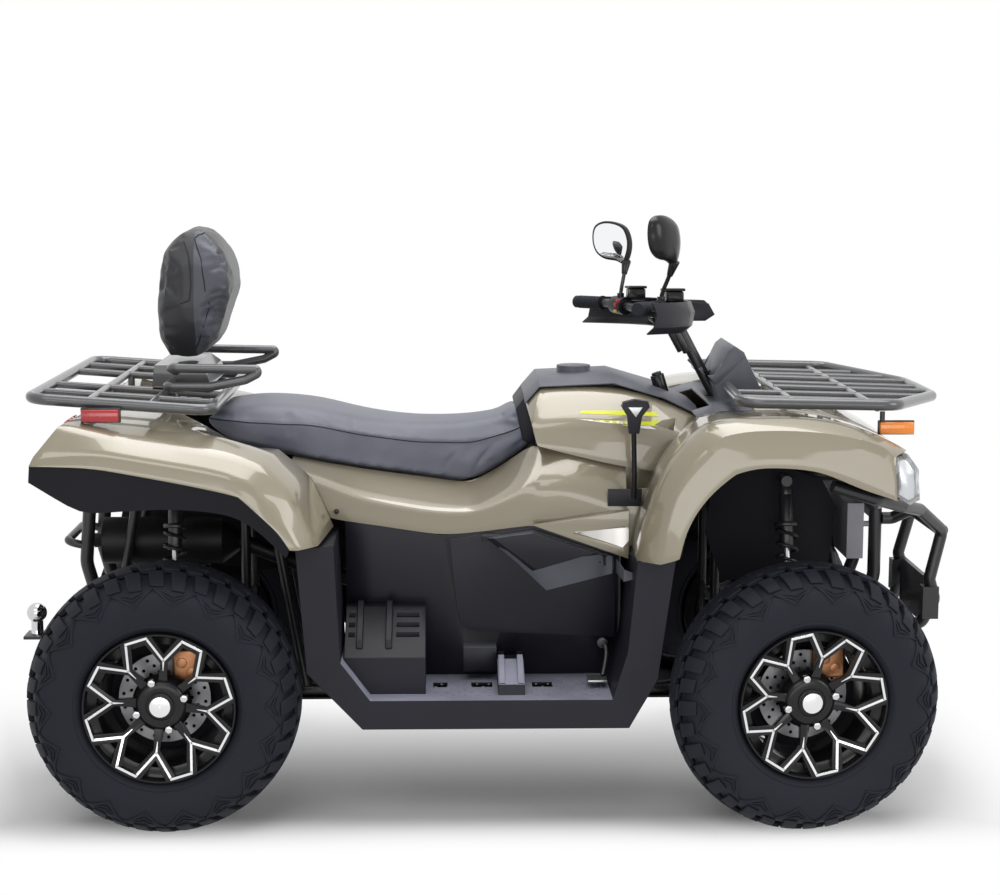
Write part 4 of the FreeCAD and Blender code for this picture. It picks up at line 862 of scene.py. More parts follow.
def machined_lines(face, phase):
    """Bright zigzag along the tip bars and the arms, ending in a tail on each spine."""
    radius = TIP_RADIUS - 3
    lines = [edge_line((FORK_RADIUS, 0), polar(radius, side * TIP_ANGLE), face)
             for side in (-1, 1)]
    lines.append(edge_line((FORK_RADIUS + 1, 0), (79, 0), face, end_width=1.6))
    forks = around(dished(joined(lines), face), SPOKES, phase + 180 / SPOKES)
    bar = edge_line(polar(radius, -BAR_ANGLE), polar(radius, BAR_ANGLE), face)
    return joined([forks, around(bar, SPOKES, phase)])


def upright(x, y, z, radius, depth, corners):
    """Cylinder along the Z axis round a middle point in millimetres."""
    return primitive(bpy.ops.mesh.primitive_cylinder_add, vertices=corners, radius=radius * MM,
                     depth=depth * MM, location=(x * MM, y * MM, z * MM))


def lug_nuts(face, phase):
    """Four bright nuts with domed ends round the cap."""
    nut = upright(57, 0, face - 27, radius=9.5, depth=16, corners=6)
    round_edges(nut, 2.2 * MM, segments=3)
    return around(nut, 4, phase)


def hub_cap(face):
    """Bright cap with a fluted edge and a dark centre hole."""
    cap = upright(0, 0, face - 26, radius=24.5, depth=20, corners=48)
    for corner in cap.data.vertices:
        if corner.index % 4 < 2:
            corner.co.x *= FLUTE
            corner.co.y *= FLUTE
    round_edges(cap, 1.6 * MM)
    with editing(cap, "DESELECT"):
        pick_faces(cap, lambda middle, face: face.normal.z > 0.9 and middle.xy.length < 0.001)
        bpy.ops.mesh.inset(thickness=19 * MM)
        bpy.ops.mesh.extrude_region_move(
            TRANSFORM_OT_translate={"value": (0.0, 0.0, -6 * MM)})
    return cap


def cut_from(piece, cutter):
    """Cut a closed piece out of another one and remove it."""
    apply_modifier(piece, "BOOLEAN", operation="DIFFERENCE", object=cutter, solver="EXACT")
    bpy.data.objects.remove(cutter)
    return piece


def disc_level(end):
    """Height of the brake disc's middle in a wheel's own coordinates."""
    return RIM_HALF[end] - (WHEEL_FACE - HUB_FACE) - HUB_HEIGHT - 0.3


def drilled_disc(end):
    """Brake disc with three rings of holes, on its own hub."""
    level = disc_level(end)
    top = level + HUB_HEIGHT
    disc = turned_ring([(40, level - 2), (105, level - 2), (105, level + 2), (40, level + 2)],
                       96)
    hub = turned_ring([(15.2, top - 46), (39, top - 46), (41, top - 34), (41, level + 4),
                       (57, top - 9), (58, top - 7), (58, top), (15.2, top)], 48)
    holes = [around(upright(*polar(place, shift), level, radius=4.2, depth=12, corners=12), 18)
             for place, shift in ((62, 0.0), (78, 7.0), (94, 14.0))]
    return joined([cut_from(disc, joined(holes)), hub])


def brake_calliper(end):
    """Rounded calliper that straddles the disc with a slot for it."""
    level = disc_level(end)
    body = block((22, 42, level - 24), (92, 120, level + 30), bevel=7.0, segments=3)
    cut_from(body, rod((0, 0, level - 7), (0, 0, level + 7), 109.5, 96))
    return joined([body] + [rod((x, y, level + 26), (x, y, level + 32), 12, 24, 1.5)
                            for x, y in ((44, 88), (68, 66))])


def dust_shield(end):
    """Pressed shield behind the disc."""
    level = disc_level(end) - 34
    return turned_ring([(24, level), (60, level), (66, level - 4), (128, level - 4),
                        (134, level + 2), (134, level + 4), (127, level - 2),
                        (67, level - 2), (61, level + 2), (24, level + 2)], 72)


class QUAD_OT_rims(bpy.types.Operator):
    """Make the black rims with machined edges, their caps, nuts and brake discs"""
    bl_idname = "quad.rims"
    bl_label = "Rims and discs"

    def execute(self, context):
        for end in ("front", "rear"):
            face = RIM_HALF[end]
            phase = RIM_PHASE[end]
            masters = [
                (joined([rim_barrel(face), spoked_centre(face, phase)]), "rim", "gloss_black",
                 "wheel"),
                (machined_lines(face, phase), "machined_lines", "machined", None),
                (lug_nuts(face, phase - 88), "lug_nuts", "chrome", None),
                (hub_cap(face), "hub_cap", "machined", None),
                (drilled_disc(end), "drilled_disc", "disc_steel", "brake_disc"),
                (brake_calliper(end), "calliper", "calliper", None),
                (dust_shield(end), "dust_shield", "liner", None),
            ]
            for master, name, finish, node in masters:
                for side in ("left", "right"):
                    body = None
                    if name in ("calliper", "dust_shield"):
                        body = "knuckle_" + side if end == "front" else CHASSIS
                    set_on_wheel(master, end, side, name, finish, node, body)
                bpy.data.objects.remove(master)
        return {"FINISHED"}


# Seat and backrest

def solid_copy(node, grow, voxel=6.0):
    """Closed, evenly meshed copy of a soft part's solid, a little smaller than it."""
    pad = subdivided_copy(node, rim_angle=40.0, line_angle=25.0, line_strength=0.35)
    apply_modifier(pad, "DISPLACE", strength=grow * MM, mid_level=0.0)
    apply_modifier(pad, "REMESH", mode="VOXEL", voxel_size=voxel * MM)
    return pad


def plump(pad, pressure, cap, frames=20):
    """Swell a pad under cloth pressure, with no point moving further than the cap."""
    only(pad)
    cloth = pad.modifiers.new("cloth", "CLOTH")
    cloth.settings.use_pressure = True
    cloth.settings.uniform_pressure_force = pressure
    cloth.settings.effector_weights.gravity = 0.0
    cloth.point_cache.frame_start = 1
    cloth.point_cache.frame_end = frames
    start = [corner.co.copy() for corner in pad.data.vertices]
    for number in range(1, frames + 1):
        bpy.context.scene.frame_set(number)
    bpy.ops.object.modifier_apply(modifier=cloth.name)
    bpy.context.scene.frame_set(1)
    for corner, before in zip(pad.data.vertices, start):
        moved = corner.co - before
        if moved.length > cap * MM:
            corner.co = before + moved.normalized() * cap * MM


def cover_seam(pad, points, rise):
    """Points of a seam in millimetres, brought onto a pad's surface and raised a little."""
    placed = []
    for point in points:
        found, place, normal, _ = pad.closest_point_on_mesh(Vector(point) * MM)
        if not found:
            raise RuntimeError(f"{pad.name} has no surface near {point}")
        placed.append(place / MM + normal * rise)
    return placed


def between(points, pieces):
    """Extra points on the straight lines between seam points."""
    points = [Vector(point) for point in points]
    fine = [start.lerp(end, step / pieces) for start, end in zip(points, points[1:])
            for step in range(pieces)]
    return fine + points[-1:]


def crease_line(pad, points, reach, depth):
    """Press a narrow channel into a pad along a line of points in millimetres."""
    line = [Vector(point) * MM for point in between(points, 10)]
    tree = kdtree.KDTree(len(line))
    for index, point in enumerate(line):
        tree.insert(point, index)
    tree.balance()
    normals = [corner.normal.copy() for corner in pad.data.vertices]
    for corner, normal in zip(pad.data.vertices, normals):
        _, _, distance = tree.find(corner.co)
        if distance < reach * MM:
            share = 0.5 + 0.5 * math.cos(math.pi * distance / (reach * MM))
            corner.co -= normal * depth * MM * share


SEAT_NOSE = 4.0
BACK_TONE = -0.69
# Seams seen from the side, with the distance out of each, for the seat in half widths
SEAT_PIPING = [(-668, 926), (-600, 920), (-510, 912), (-400, 908), (-295, 882), (-160, 861),
               (-25, 857), (50, 880), (104, 902)]
SEAT_SHARES = [0.82, 1.0, 1.0, 0.98, 0.9, 0.8, 0.75, 0.72, 0.7]
BACK_SEAMS = (
    (132, [(-650, 1396), (-680, 1388), (-690, 1370), (-684, 1340), (-672, 1296), (-663, 1242),
           (-662, 1190), (-672, 1147), (-686, 1066)]),
    (150, [(-724, 1380), (-713, 1353), (-703, 1320), (-697, 1280), (-696, 1240),
           (-699, 1205), (-722, 1196)]),
)
SEAT_PULL = [(-371, 110, 953), (-350, 135, 930), (-323, 160, 900), (-300, 170, 883)]


def on_side(way, line):
    """Points of the left side, or their mirror image when the way is -1."""
    return [(x, way * y, z) for x, y, z in line]


def under_rail(place, rail):
    """Whether a point lies below a line of (x, z) points."""
    for start, end in zip(rail, rail[1:]):
        if start.x <= place.x <= end.x:
            share = (place.x - start.x) / (end.x - start.x)
            return place.z < start.y + (end.y - start.y) * share
    return False


class QUAD_OT_seat(bpy.types.Operator):
    """Upholster the seat and the backrest, with their seams and pull creases"""
    bl_idname = "quad.seat"
    bl_label = "Seat and backrest"

    def execute(self, context):
        seat = solid_copy("seat", grow=-3.0)
        back = solid_copy("backrest_pad", grow=-6.0)
        for corner in seat.data.vertices:
            share = min(max((corner.co.x - 0.03) / 0.09, 0.0), 1.0)
            corner.co.x += share * share * (3 - 2 * share) * SEAT_NOSE * MM
        plump(seat, pressure=4.0, cap=9.0)
        plump(back, pressure=4.0, cap=12.0)
        low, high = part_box("seat")
        half = (high[1] - low[1]) / 2 / MM
        side = [(x, half * share, z) for (x, z), share in zip(SEAT_PIPING, SEAT_SHARES)]
        back_lines = [[(x, out, z) for x, z in seam] for out, seam in BACK_SEAMS]
        for way in (-1, 1):
            crease_line(seat, on_side(way, side), reach=9.0, depth=2.6)
            crease_line(seat, on_side(way, SEAT_PULL), reach=12.0, depth=2.4)
            for line in back_lines:
                crease_line(back, on_side(way, line), reach=11.0, depth=3.0)
        for pad in (seat, back):
            apply_modifier(pad, "SMOOTH", factor=0.5, iterations=2)
            apply_modifier(pad, "SUBSURF", levels=1, render_levels=1)
        seams = []
        for way in (-1, 1):
            for pad, line, rise, radius in (
                    (seat, side, 0.4, 1.5), *((back, line, 0.2, 1.4) for line in back_lines)):
                points = cover_seam(pad, between(on_side(way, line), 3), rise)
                seams.append(pipe(points, radius))
        mount(joined(seams), "cover_seams", "piping", CHASSIS)
        for pad, name, finish, second, node in (
                (seat, "seat_cushion", "vinyl", "vinyl_side", "seat"),
                (back, "backrest_cushion", "back_vinyl", "back_strip", "backrest_pad")):
            mount(pad, name, finish, CHASSIS, smooth=70.0)
            pad.data.materials.append(FINISHES[second])
            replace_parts(pad, node)
        rail = [Vector(point) * MM for point in SEAT_PIPING]
        for face in seat.data.polygons:
            face.material_index = int(under_rail(face.center, rail))
        for face in back.data.polygons:
            face.material_index = int(face.center.x > BACK_TONE and abs(face.normal.y) > 0.5)
        return {"FINISHED"}


# Footwells

FLOOR_LEVEL = 308.0


def stud_rows(side):
    """Low round studs on the footwell's floor, clear of the rider's peg."""
    master = rod((0, 0, FLOOR_LEVEL - 1), (0, 0, FLOOR_LEVEL + 1.6), 2.6, 8)
    studs = []
    for row, out in enumerate(range(322, 472, 25)):
        for fore in range(-112 + (row % 2) * 14, 290, 28):
            if 22 < fore < 108 and out < 455:
                continue
            stud = duplicate(master)
            stud.data.transform(Matrix.Translation(Vector((fore, side * out, 0)) * MM))
            studs.append(stud)
    bpy.data.objects.remove(master)
    return joined(studs)


def louvre_cutter(side):
    """Slots in the sloping top of the pillion's rest, and gaps in the floor."""
    slots = [(fore, aft, 310 + (490 - level) * 94 / 70 - 8, 38, level - 5, level + 4)
             for fore, aft in ((-316, -301), (-204, -150)) for level in (438, 456, 474)]
    slots += [(fore, aft, 330, 42, 300, 316)
              for fore, aft in ((-118, -84), (-28, 22), (116, 164))]
    tools = []
    for fore, aft, inner, width, bottom, top in slots:
        low, high = sorted((side * inner, side * (inner + width)))
        tools.append(block((fore, low, bottom), (aft, high, top)))
    return joined(tools)


class QUAD_OT_footwells(bpy.types.Operator):
    """Mould the footwells with chamfers, louvres and floor studs, and the brake pedal"""
    bl_idname = "quad.footwells"
    bl_label = "Footwells"

    def execute(self, context):
        for side, name in reversed(SIDES):
            node = "footwell_" + name
            well = cut_from(rounded_copy(node, 6.0, segments=1), louvre_cutter(side))
            mount(well, node + "_moulded", "plastic", CHASSIS, smooth=20.0)
            # Up-facing floor faces in a lighter plastic: painted highlight
            paint_light_and_shade(well, "floor_plastic",
                       lambda face: face.normal.z > 0.6 and face.center.z < 0.36)
            # Up-facing faces above the floor in a darker plastic: painted shade
            paint_light_and_shade(well, "edge_plastic",
                       lambda face: face.normal.z > 0.3 and face.center.z > 0.36)
            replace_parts(well, node)
            # Studs in a light grey plastic: painted highlight
            mount(stud_rows(side), "floor_studs_" + name, "stud_painted_highlight", CHASSIS)
            clips = [block((fore, side * 298 - 3, low), (aft, side * 298 + 3, high), 2.0)
                     for fore, aft, low, high in ((-4, 46, 643, 664), (242, 288, 596, 618))]
            mount(joined(clips), "cover_clips_" + name, "gloss_black", CHASSIS)
        arm = pipe([(286, -296, 398), (292, -312, 396), (296, -330, 372), (284, -352, 330)], 6)
        boss = rod((286, -290, 398), (286, -312, 398), 13, 24, 1.5)
        pad = block((246, -392, 322), (292, -340, 328), 2.0)
        mount(joined([arm, boss]), "brake_pedal_arm", "powder", CHASSIS)
        mount(pad, "brake_pedal_pad", "steel", CHASSIS)
        return {"FINISHED"}


# Shock absorbers, reflectors, lamps, hitch

# Level in metres that parts the bright ball from its dark plate
PLATE_TOP = 0.368
COIL_STEPS = 14


def coil(foot, top, radius, wire, turns):
    """Helical spring between two points in millimetres."""
    count = turns * COIL_STEPS
    way = Vector(top) - Vector(foot)
    lean = way.to_track_quat("Z", "Y")
    points = []
    for index in range(count + 1):
        angle = math.tau * index / COIL_STEPS
        local = Vector((radius * math.cos(angle), radius * math.sin(angle),
                        way.length * index / count))
        points.append(Vector(foot) + lean @ local)
    return pipe(points, wire, 2)


class QUAD_OT_shocks(bpy.types.Operator):
    """Build the four coil-over shock absorbers"""
    bl_idname = "quad.shocks"
    bl_label = "Shock absorbers"

    def execute(self, context):
        low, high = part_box("shock_absorbers")
        springs, bodies, rods = [], [], []
        for fore in (AXLE, -AXLE):
            foot, top = Vector((fore, 300, low[2] / MM)), Vector((fore, 216, high[2] / MM))
            unit = (top - foot).normalized()
            length = (top - foot).length
            springs.append(coil(foot + unit * 38, foot + unit * (length - 92), 25, 4.2, 7))
            for start, end, radius, corners in (
                    (length - 150, length - 22, 17, 24), (length - 98, length - 88, 29, 32),
                    (28, 36, 29, 32), (4, 34, 15, 24), (length - 24, length, 14, 24)):
                bodies.append(rod(foot + unit * start, foot + unit * end, radius, corners, 2))
            rods.append(rod(foot + unit * 24, foot + unit * (length - 140), 7, 20))
        left, _ = both_sides(joined(bodies), "damper_bodies", "powder", CHASSIS)
        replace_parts(left, "shock_absorbers")
        both_sides(joined(springs), "coil_springs", "spring_black", CHASSIS)
        both_sides(joined(rods), "damper_rods", "steel", CHASSIS)
        return {"FINISHED"}


class QUAD_OT_lamps(bpy.types.Operator):
    """Make the headlamps, the tail lamps, the reflectors and the towing hitch"""
    bl_idname = "quad.lamps"
    bl_label = "Lamps and hitch"

    def execute(self, context):
        lens = rounded_copy("headlamps", 6.0, 3)
        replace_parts(mount(lens, "headlamp_lenses", "clear_lens", CHASSIS), "headlamps")
        bowl = outline_slab([(936, 866), (958, 868), (977, 842), (981, 780), (966, 772),
                             (944, 786)], "XZ", 346, 494, 5.0, 2)
        both_sides(bowl, "headlamp_reflector", "reflector", CHASSIS)
        strip = outline_slab([(930, 871), (960, 875), (960, 871), (931, 867)], "XZ", 345, 495,
                             0.8)
        both_sides(strip, "headlamp_brow", "gloss_black", CHASSIS)
        tail = rounded_copy("tail_lamps", 3.0, 2)
        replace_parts(mount(tail, "tail_lamp_lenses", "red_lens", CHASSIS), "tail_lamps")
        orange = block((906, 440, 920), (984, 458, 947), 2.5)
        both_sides(orange, "orange_lens", "orange_lens", CHASSIS)
        tray = joined([block((903, 436, 917), (987, 444, 950), 2.0),
                       rod((912, 445, 945), (912, 445, 971), 6, 16)])
        left, _ = both_sides(tray, "orange_lens_tray", "powder", CHASSIS)
        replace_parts(left, "side_reflectors")
        red = block((-907, 461, 953), (-823, 479, 981), 2.5)
        both_sides(red, "red_lens", "red_lens", CHASSIS)
        _, hanger_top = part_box("rear_reflectors")
        tray = joined([block((-910, 457, 950), (-820, 464, 984), 2.0),
                       block((-880, 432, 962), (-850, 460, 971), 1.0),
                       rod((-865, 440, 966), (-865, 440, hanger_top[2] / MM), 7, 16)])
        left, _ = both_sides(tray, "red_lens_tray", "powder", CHASSIS)
        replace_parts(left, "rear_reflectors")
        hitch = rounded_copy("hitch", 1.5, 2)
        mount(hitch, "hitch_ball", "chrome", CHASSIS)
        hitch.data.materials.append(FINISHES["powder"])
        for face in hitch.data.polygons:
            if face.center.z < PLATE_TOP:
                face.material_index = 1
        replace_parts(hitch, "hitch")
        return {"FINISHED"}


# Handlebar

def steered_place():
    """Matrix that swings a straight-ahead piece to the parked steering angle."""
    joint = next(entry for entry in frame["joints"] if entry["name"] == "handlebar_steer")
    pivot = Vector(joint["pos_m"])
    turn = Matrix.Rotation(PARKED_STEER, 4, Vector(joint["axis"]))
    return Matrix.Translation(pivot) @ turn @ Matrix.Translation(-pivot)


def on_bars(piece, name, finish, sides=("left", "right"), **settings):
    """Mount a piece drawn for the left bar on one or both sides, steered."""
    placed = []
    for side in sides:
        copy = duplicate(piece)
        if side == "right":
            mirrored(copy, LEFT_TO_RIGHT)
        copy.data.transform(steered_place())
        label = f"{name}_{side}" if len(sides) > 1 else name
        placed.append(mount(copy, label, finish, "steering", **settings))
    bpy.data.objects.remove(piece)
    return placed


GRIP_START = Vector((372, 320, 1181))
GRIP_END = Vector((309, 430, 1183))
SWITCH_FROM = Vector((440, 150, 1168))
SWITCH_WAY = (GRIP_START - SWITCH_FROM).normalized()
SWITCH_AT = SWITCH_FROM + SWITCH_WAY * 95
RIB_STEP = 10.0


def switch_block(low, high, bevel, segments=2):
    """Block between two corners measured from the left bar's switch housing."""
    return block(SWITCH_AT + Vector(low), SWITCH_AT + Vector(high), bevel, segments)


def ribbed_grip():
    """Rubber sleeve with ribs and a flange at its inner end."""
    way = (GRIP_END - GRIP_START).normalized()
    start = GRIP_START + way * 20
    length = (GRIP_END - start).length + 6
    profile = [(11.4, 0), (19, 0), (19, 4), (16, 6)]
    rib = 12.0
    while rib < length - 12:
        profile += [(15.2, rib - 2), (17, rib), (17, rib + 5), (15.2, rib + 7)]
        rib += RIB_STEP
    profile += [(16.4, length - 3), (14, length), (0.2, length), (0.2, length - 5),
                (11.4, length - 5)]
    grip = turned_ring(profile, 28)
    grip.data.transform(Matrix.Translation(start * MM)
                        @ way.to_track_quat("Z", "Y").to_matrix().to_4x4())
    return grip


def smooth_outline(points, steps):
    """Closed outline passing smoothly through a few points."""
    count = len(points)
    fine = []
    for index in range(count):
        p0, p1, p2, p3 = [Vector(points[(index + shift) % count]) for shift in (-1, 0, 1, 2)]
        for step in range(steps):
            t = step / steps
            fine.append(tuple(0.5 * (2 * p1 + (p2 - p0) * t + (2 * p0 - 5 * p1 + 4 * p2 - p3)
                                     * t * t + (3 * p1 - p0 - 3 * p2 + p3) * t * t * t)))
    return fine


MIRROR_OUTLINE = [(-46, -62), (-18, -54), (22, -48), (50, -30), (62, 2), (56, 36), (28, 50),
                  (-12, 48), (-46, 34), (-62, 4), (-62, -30)]
MIRROR_CENTRE = Vector((386, 336, 1346))
MIRROR_LEAN = math.radians(42)


def on_mirror(piece):
    """Turn a piece drawn flat, facing down, to face the rider."""
    lean = MIRROR_LEAN
    turn = Matrix(((-math.sin(lean), 0.0, math.cos(lean), 0.0),
                   (math.cos(lean), 0.0, math.sin(lean), 0.0),
                   (0.0, 1.0, 0.0, 0.0), (0.0, 0.0, 0.0, 1.0)))
    piece.data.transform(Matrix.Translation(MIRROR_CENTRE * MM) @ turn)
    face_outwards(piece)
    return piece


def mirror_head():
    """Teardrop shell with a bulging back, and the straight stem under it."""
    shell = outline_slab(smooth_outline(MIRROR_OUTLINE, 5), "XY", -8, 4)
    with editing(shell, "DESELECT"):
        pick_faces(shell, lambda middle, face: face.normal.z > 0.9)
        for rise, share in ((9, 0.86), (6, 0.72), (2.5, 0.55)):
            bpy.ops.mesh.extrude_region_move(
                TRANSFORM_OT_translate={"value": (0.0, 0.0, rise * MM)})
            bpy.ops.transform.resize(value=(share, share, 1.0))
    round_edges(shell, 2.0 * MM, angle=40.0)
    on_mirror(shell)
    foot = SWITCH_AT + SWITCH_WAY * 26 + Vector((0, 0, 24))
    neck = MIRROR_CENTRE + Vector((math.sin(MIRROR_LEAN), -math.cos(MIRROR_LEAN), 0)) * 44
    neck += Vector((math.cos(MIRROR_LEAN), math.sin(MIRROR_LEAN), 0)) * 4
    neck.z -= 54
    joint = foot.lerp(neck, 0.62)
    stem = pipe([foot, foot + Vector((1, 1, 14)), joint, neck], 5.0)
    way = neck - joint
    cone = primitive(bpy.ops.mesh.primitive_cone_add, vertices=20, radius1=7 * MM,
                     radius2=13 * MM, depth=way.length * MM, location=(joint + neck) / 2 * MM,
                     rotation=way.to_track_quat("Z", "Y").to_euler())
    round_edges(cone, 2.0 * MM)
    nut = rod(foot - Vector((0, 0, 4)), foot + Vector((0, 0, 8)), 10, 6, 1.0)
    return joined([shell, stem, cone, nut])


def mirror_glass_slab():
    """Glass on the rider's side of a mirror head."""
    inner = [(x * 0.88 + 1, z * 0.88) for x, z in MIRROR_OUTLINE]
    return on_mirror(outline_slab(smooth_outline(inner, 5), "XY", -9.2, -7.8, 0.4))


class QUAD_OT_bars(bpy.types.Operator):
    """Fit the grips, levers, switches, reservoir, pod, guards and mirrors"""
    bl_idname = "quad.bars"
    bl_label = "Handlebar"

    def execute(self, context):
        grips = on_bars(ribbed_grip(), "ribbed_grip", "rubber")
        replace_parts(grips[0], "grips")
        for node, width in (("hand_controls", 2.5), ("hand_guards", 1.5), ("bar_pod", 7.0)):
            piece = rounded_copy(node, width, 3)
            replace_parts(mount(piece, node + "_moulded", "smooth_plastic", "steering"), node)
        heads = on_bars(mirror_head(), "mirror_head", "gloss_black", smooth=50.0)
        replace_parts(heads[0], "mirrors")
        risers = joined([rod((457, 38, 1160), (508, 34, 1066), 9, 20, 1.5),
                         block((440, 26, 1152), (478, 50, 1186), 5.0, 3)])
        on_bars(risers, "bar_riser", "powder")
        on_bars(mirror_glass_slab(), "mirror_glass", "mirror")
        lever = pipe([SWITCH_AT + Vector((40, 25, 0)), GRIP_START + Vector((40, 20, 0)),
                      GRIP_END + Vector((38, -6, 0))], 5.8, 4)
        on_bars(lever, "brake_lever", "machined")
        red = joined([switch_block((-30, 2, -2), (-22, 16, 8), 1.5),
                      switch_block((-29, -22, 10), (-20, -10, 18), 1.5)])
        on_bars(red, "red_switches", "red_switch")
        yellow = switch_block((-30, 2, -16), (-23, 18, -9), 1.5)
        on_bars(yellow, "yellow_switches", "yellow_switch")
        tank = joined([switch_block((4, -36, 20), (46, 26, 46), 5.0, 3),
                       switch_block((1, -39, 46), (49, 29, 53), 3.0)])
        on_bars(tank, "fluid_reservoir", "gloss_black")
        screen = outline_slab([(466, 1188.5), (548, 1184.5), (556, 1188.5), (548, 1195.5),
                               (487, 1196.5), (466, 1191.5)], "XZ", -48, 48, 1.0)
        on_bars(screen, "pod_screen", "gloss_black", sides=("left",))
        return {"FINISHED"}


# Trim

SHEET_Y = 419.0
STRIP = 9.0


def on_panel(outline, panel, side, lift=0.5, thick=0.5):
    """Thin coloured shape, drawn in millimetres from the side, laid on a panel."""
    sheet = outline_slab(outline, "XZ", side * (SHEET_Y + 1), side * SHEET_Y)
    low, high = min(x for x, _ in outline), max(x for x, _ in outline)
    with editing(sheet, "DESELECT"):
        pick_faces(sheet, lambda middle, face: abs(middle.y - side * SHEET_Y * MM) > 0.0002)
        bpy.ops.mesh.delete(type="FACE")
        for step in range(1, int((high - low) / STRIP)):
            bpy.ops.mesh.select_all(action="SELECT")
            bpy.ops.mesh.bisect(plane_co=((low + step * STRIP) * MM, 0.0, 0.0),
                                plane_no=(1.0, 0.0, 0.0))
    apply_modifier(sheet, "SHRINKWRAP", target=panel, wrap_method="PROJECT",
                   use_project_y=True, use_negative_direction=True,
                   use_positive_direction=True, offset=lift * MM)
    apply_modifier(sheet, "SOLIDIFY", thickness=thick * MM, offset=0.0)
    face_outwards(sheet)
    return sheet


TANK_STRIPES = (
    ("white_stripe", ((222, 929), (300, 924), (350, 923), (345, 917), (292, 920))),
    ("yellow_stripe", ((236, 928), (300, 925), (406, 920), (404, 925), (436, 920), (443, 909),
                       (409, 911), (344, 916), (296, 921))),
    ("white_stripe", ((330, 915), (400, 911), (415, 904), (375, 907))),
    ("yellow_stripe", ((232, 940), (300, 938), (424, 931), (418, 940), (330, 946), (238, 946))),
)


class QUAD_OT_trim(bpy.types.Operator):
    """Add the stripes, the insets, the gear knob, the dash shield, the lock and the screws"""
    bl_idname = "quad.trim"
    bl_label = "Trim"

    def execute(self, context):
        lever = rounded_copy("gear_lever", 4.0, 3)
        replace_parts(mount(lever, "gear_lever_moulded", "smooth_plastic", CHASSIS), "gear_lever")
        inset = outline_slab([(339, 968), (373, 968), (357, 944)], "XZ", -337.5, -333, 1.0)
        mount(inset, "knob_inset", "steel", CHASSIS)
        tank = bpy.data.objects["tank_shell_moulded"]
        infill = bpy.data.objects["infill_panels_moulded"]
        for side, name in SIDES:
            for number, (finish, outline) in enumerate(TANK_STRIPES):
                piece = on_panel(outline, tank, side)
                mount(piece, f"tank_stripe_{number}_{name}", finish, CHASSIS)
            piece = on_panel([(218, 671), (344, 682), (344, 650), (330, 634)], infill, side,
                             lift=0.6, thick=1.2)
            mount(piece, f"silver_inset_{name}", "silver_inset", CHASSIS)
        rail = [(531, 1033), (569, 997), (580, 1001), (644, 1066), (617, 1089), (601, 1068),
                (568, 1018), (550, 1018), (538, 1040)]
        both_sides(outline_slab(rail, "XZ", 108, 122, 2.0, 2), "dash_shield", "lit_plastic",
                   CHASSIS)
        cover = bpy.data.objects["tank_top_cover_moulded"]
        found, top, _, _ = cover.ray_cast(Vector((0.447, -0.075, 1.4)), Vector((0, 0, -1)))
        if not found:
            raise RuntimeError("the lock has no cover under it")
        foot = top / MM - Vector((0, 0, 12))
        lock = joined([rod(foot, foot + Vector((-14, 0, 46)), 17, 28, 2.0),
                       rod(foot + Vector((-13, 0, 43)), foot + Vector((-16, 0, 52)), 12, 28, 1.5)])
        mount(lock, "dash_lock", "gloss_black", CHASSIS)
        stop = outline_slab([(84, 940), (108, 972), (124, 962), (136, 885), (130, 850),
                             (100, 862)], "XZ", -132, 132, 3.0)
        mount(stop, "seat_stop", "plastic", CHASSIS)
        pan = outline_slab([(-560, -150), (-440, -234), (-310, -234), (-230, -170),
                            (-140, -150), (-140, 150), (-230, 170), (-310, 234), (-440, 234),
                            (-560, 150)], "XY", 764, 769, 1.5)
        mount(pan, "seat_pan", "plastic", CHASSIS)
        heads = [rod((x, y, z), (x, y + 6, z), radius, 20, 1.2)
                 for x, y, z, radius in ((-345, 299, 717, 6.0), (353, 327, 618, 6.5))]
        both_sides(joined(heads), "panel_screws", "gloss_black", CHASSIS)
        return {"FINISHED"}


# Studio

# From and to, in metres, where the floor fades to white, and the world's share of light
FLOOR_BEHIND = (-0.45, 0.95)
FLOOR_AHEAD = (-0.38, -0.66)
FLOOR_ENDS = (1.05, 1.45)
WORLD_LIGHT = 0.38
# Place, target, width, height and power of each lamp
LAMPS = {
    "key_lamp": ((-1.5, -5.0, 5.0), (0.0, 0.0, 0.6), 4.0, 2.5, 85.0),
    "top_lamp": ((0.3, 0.3, 4.6), (0.0, 0.0, 0.5), 4.5, 3.0, 180.0),
    "low_lamp": ((0.0, -5.5, 0.9), (0.0, 0.0, 0.5), 6.0, 1.2, 55.0),
    "front_lamp": ((4.5, -2.5, 2.6), (0.0, 0.0, 0.6), 2.0, 2.5, 60.0),
}


def combined(tree, operation, *values):
    """Result of a sum on one or two values."""
    node = tree.nodes.new("ShaderNodeMath")
    node.operation = operation
    for value, socket in zip(values, node.inputs):
        tree.links.new(value, socket)
    return node.outputs["Value"]


def seen_rays(tree):
    """1 for rays from the camera, from gloss and through glass, and 0 for light."""
    rays = tree.nodes.new("ShaderNodeLightPath").outputs
    seen = combined(tree, "MAXIMUM", rays["Is Camera Ray"], rays["Is Transmission Ray"])
    return combined(tree, "MAXIMUM", seen, rays["Is Glossy Ray"])


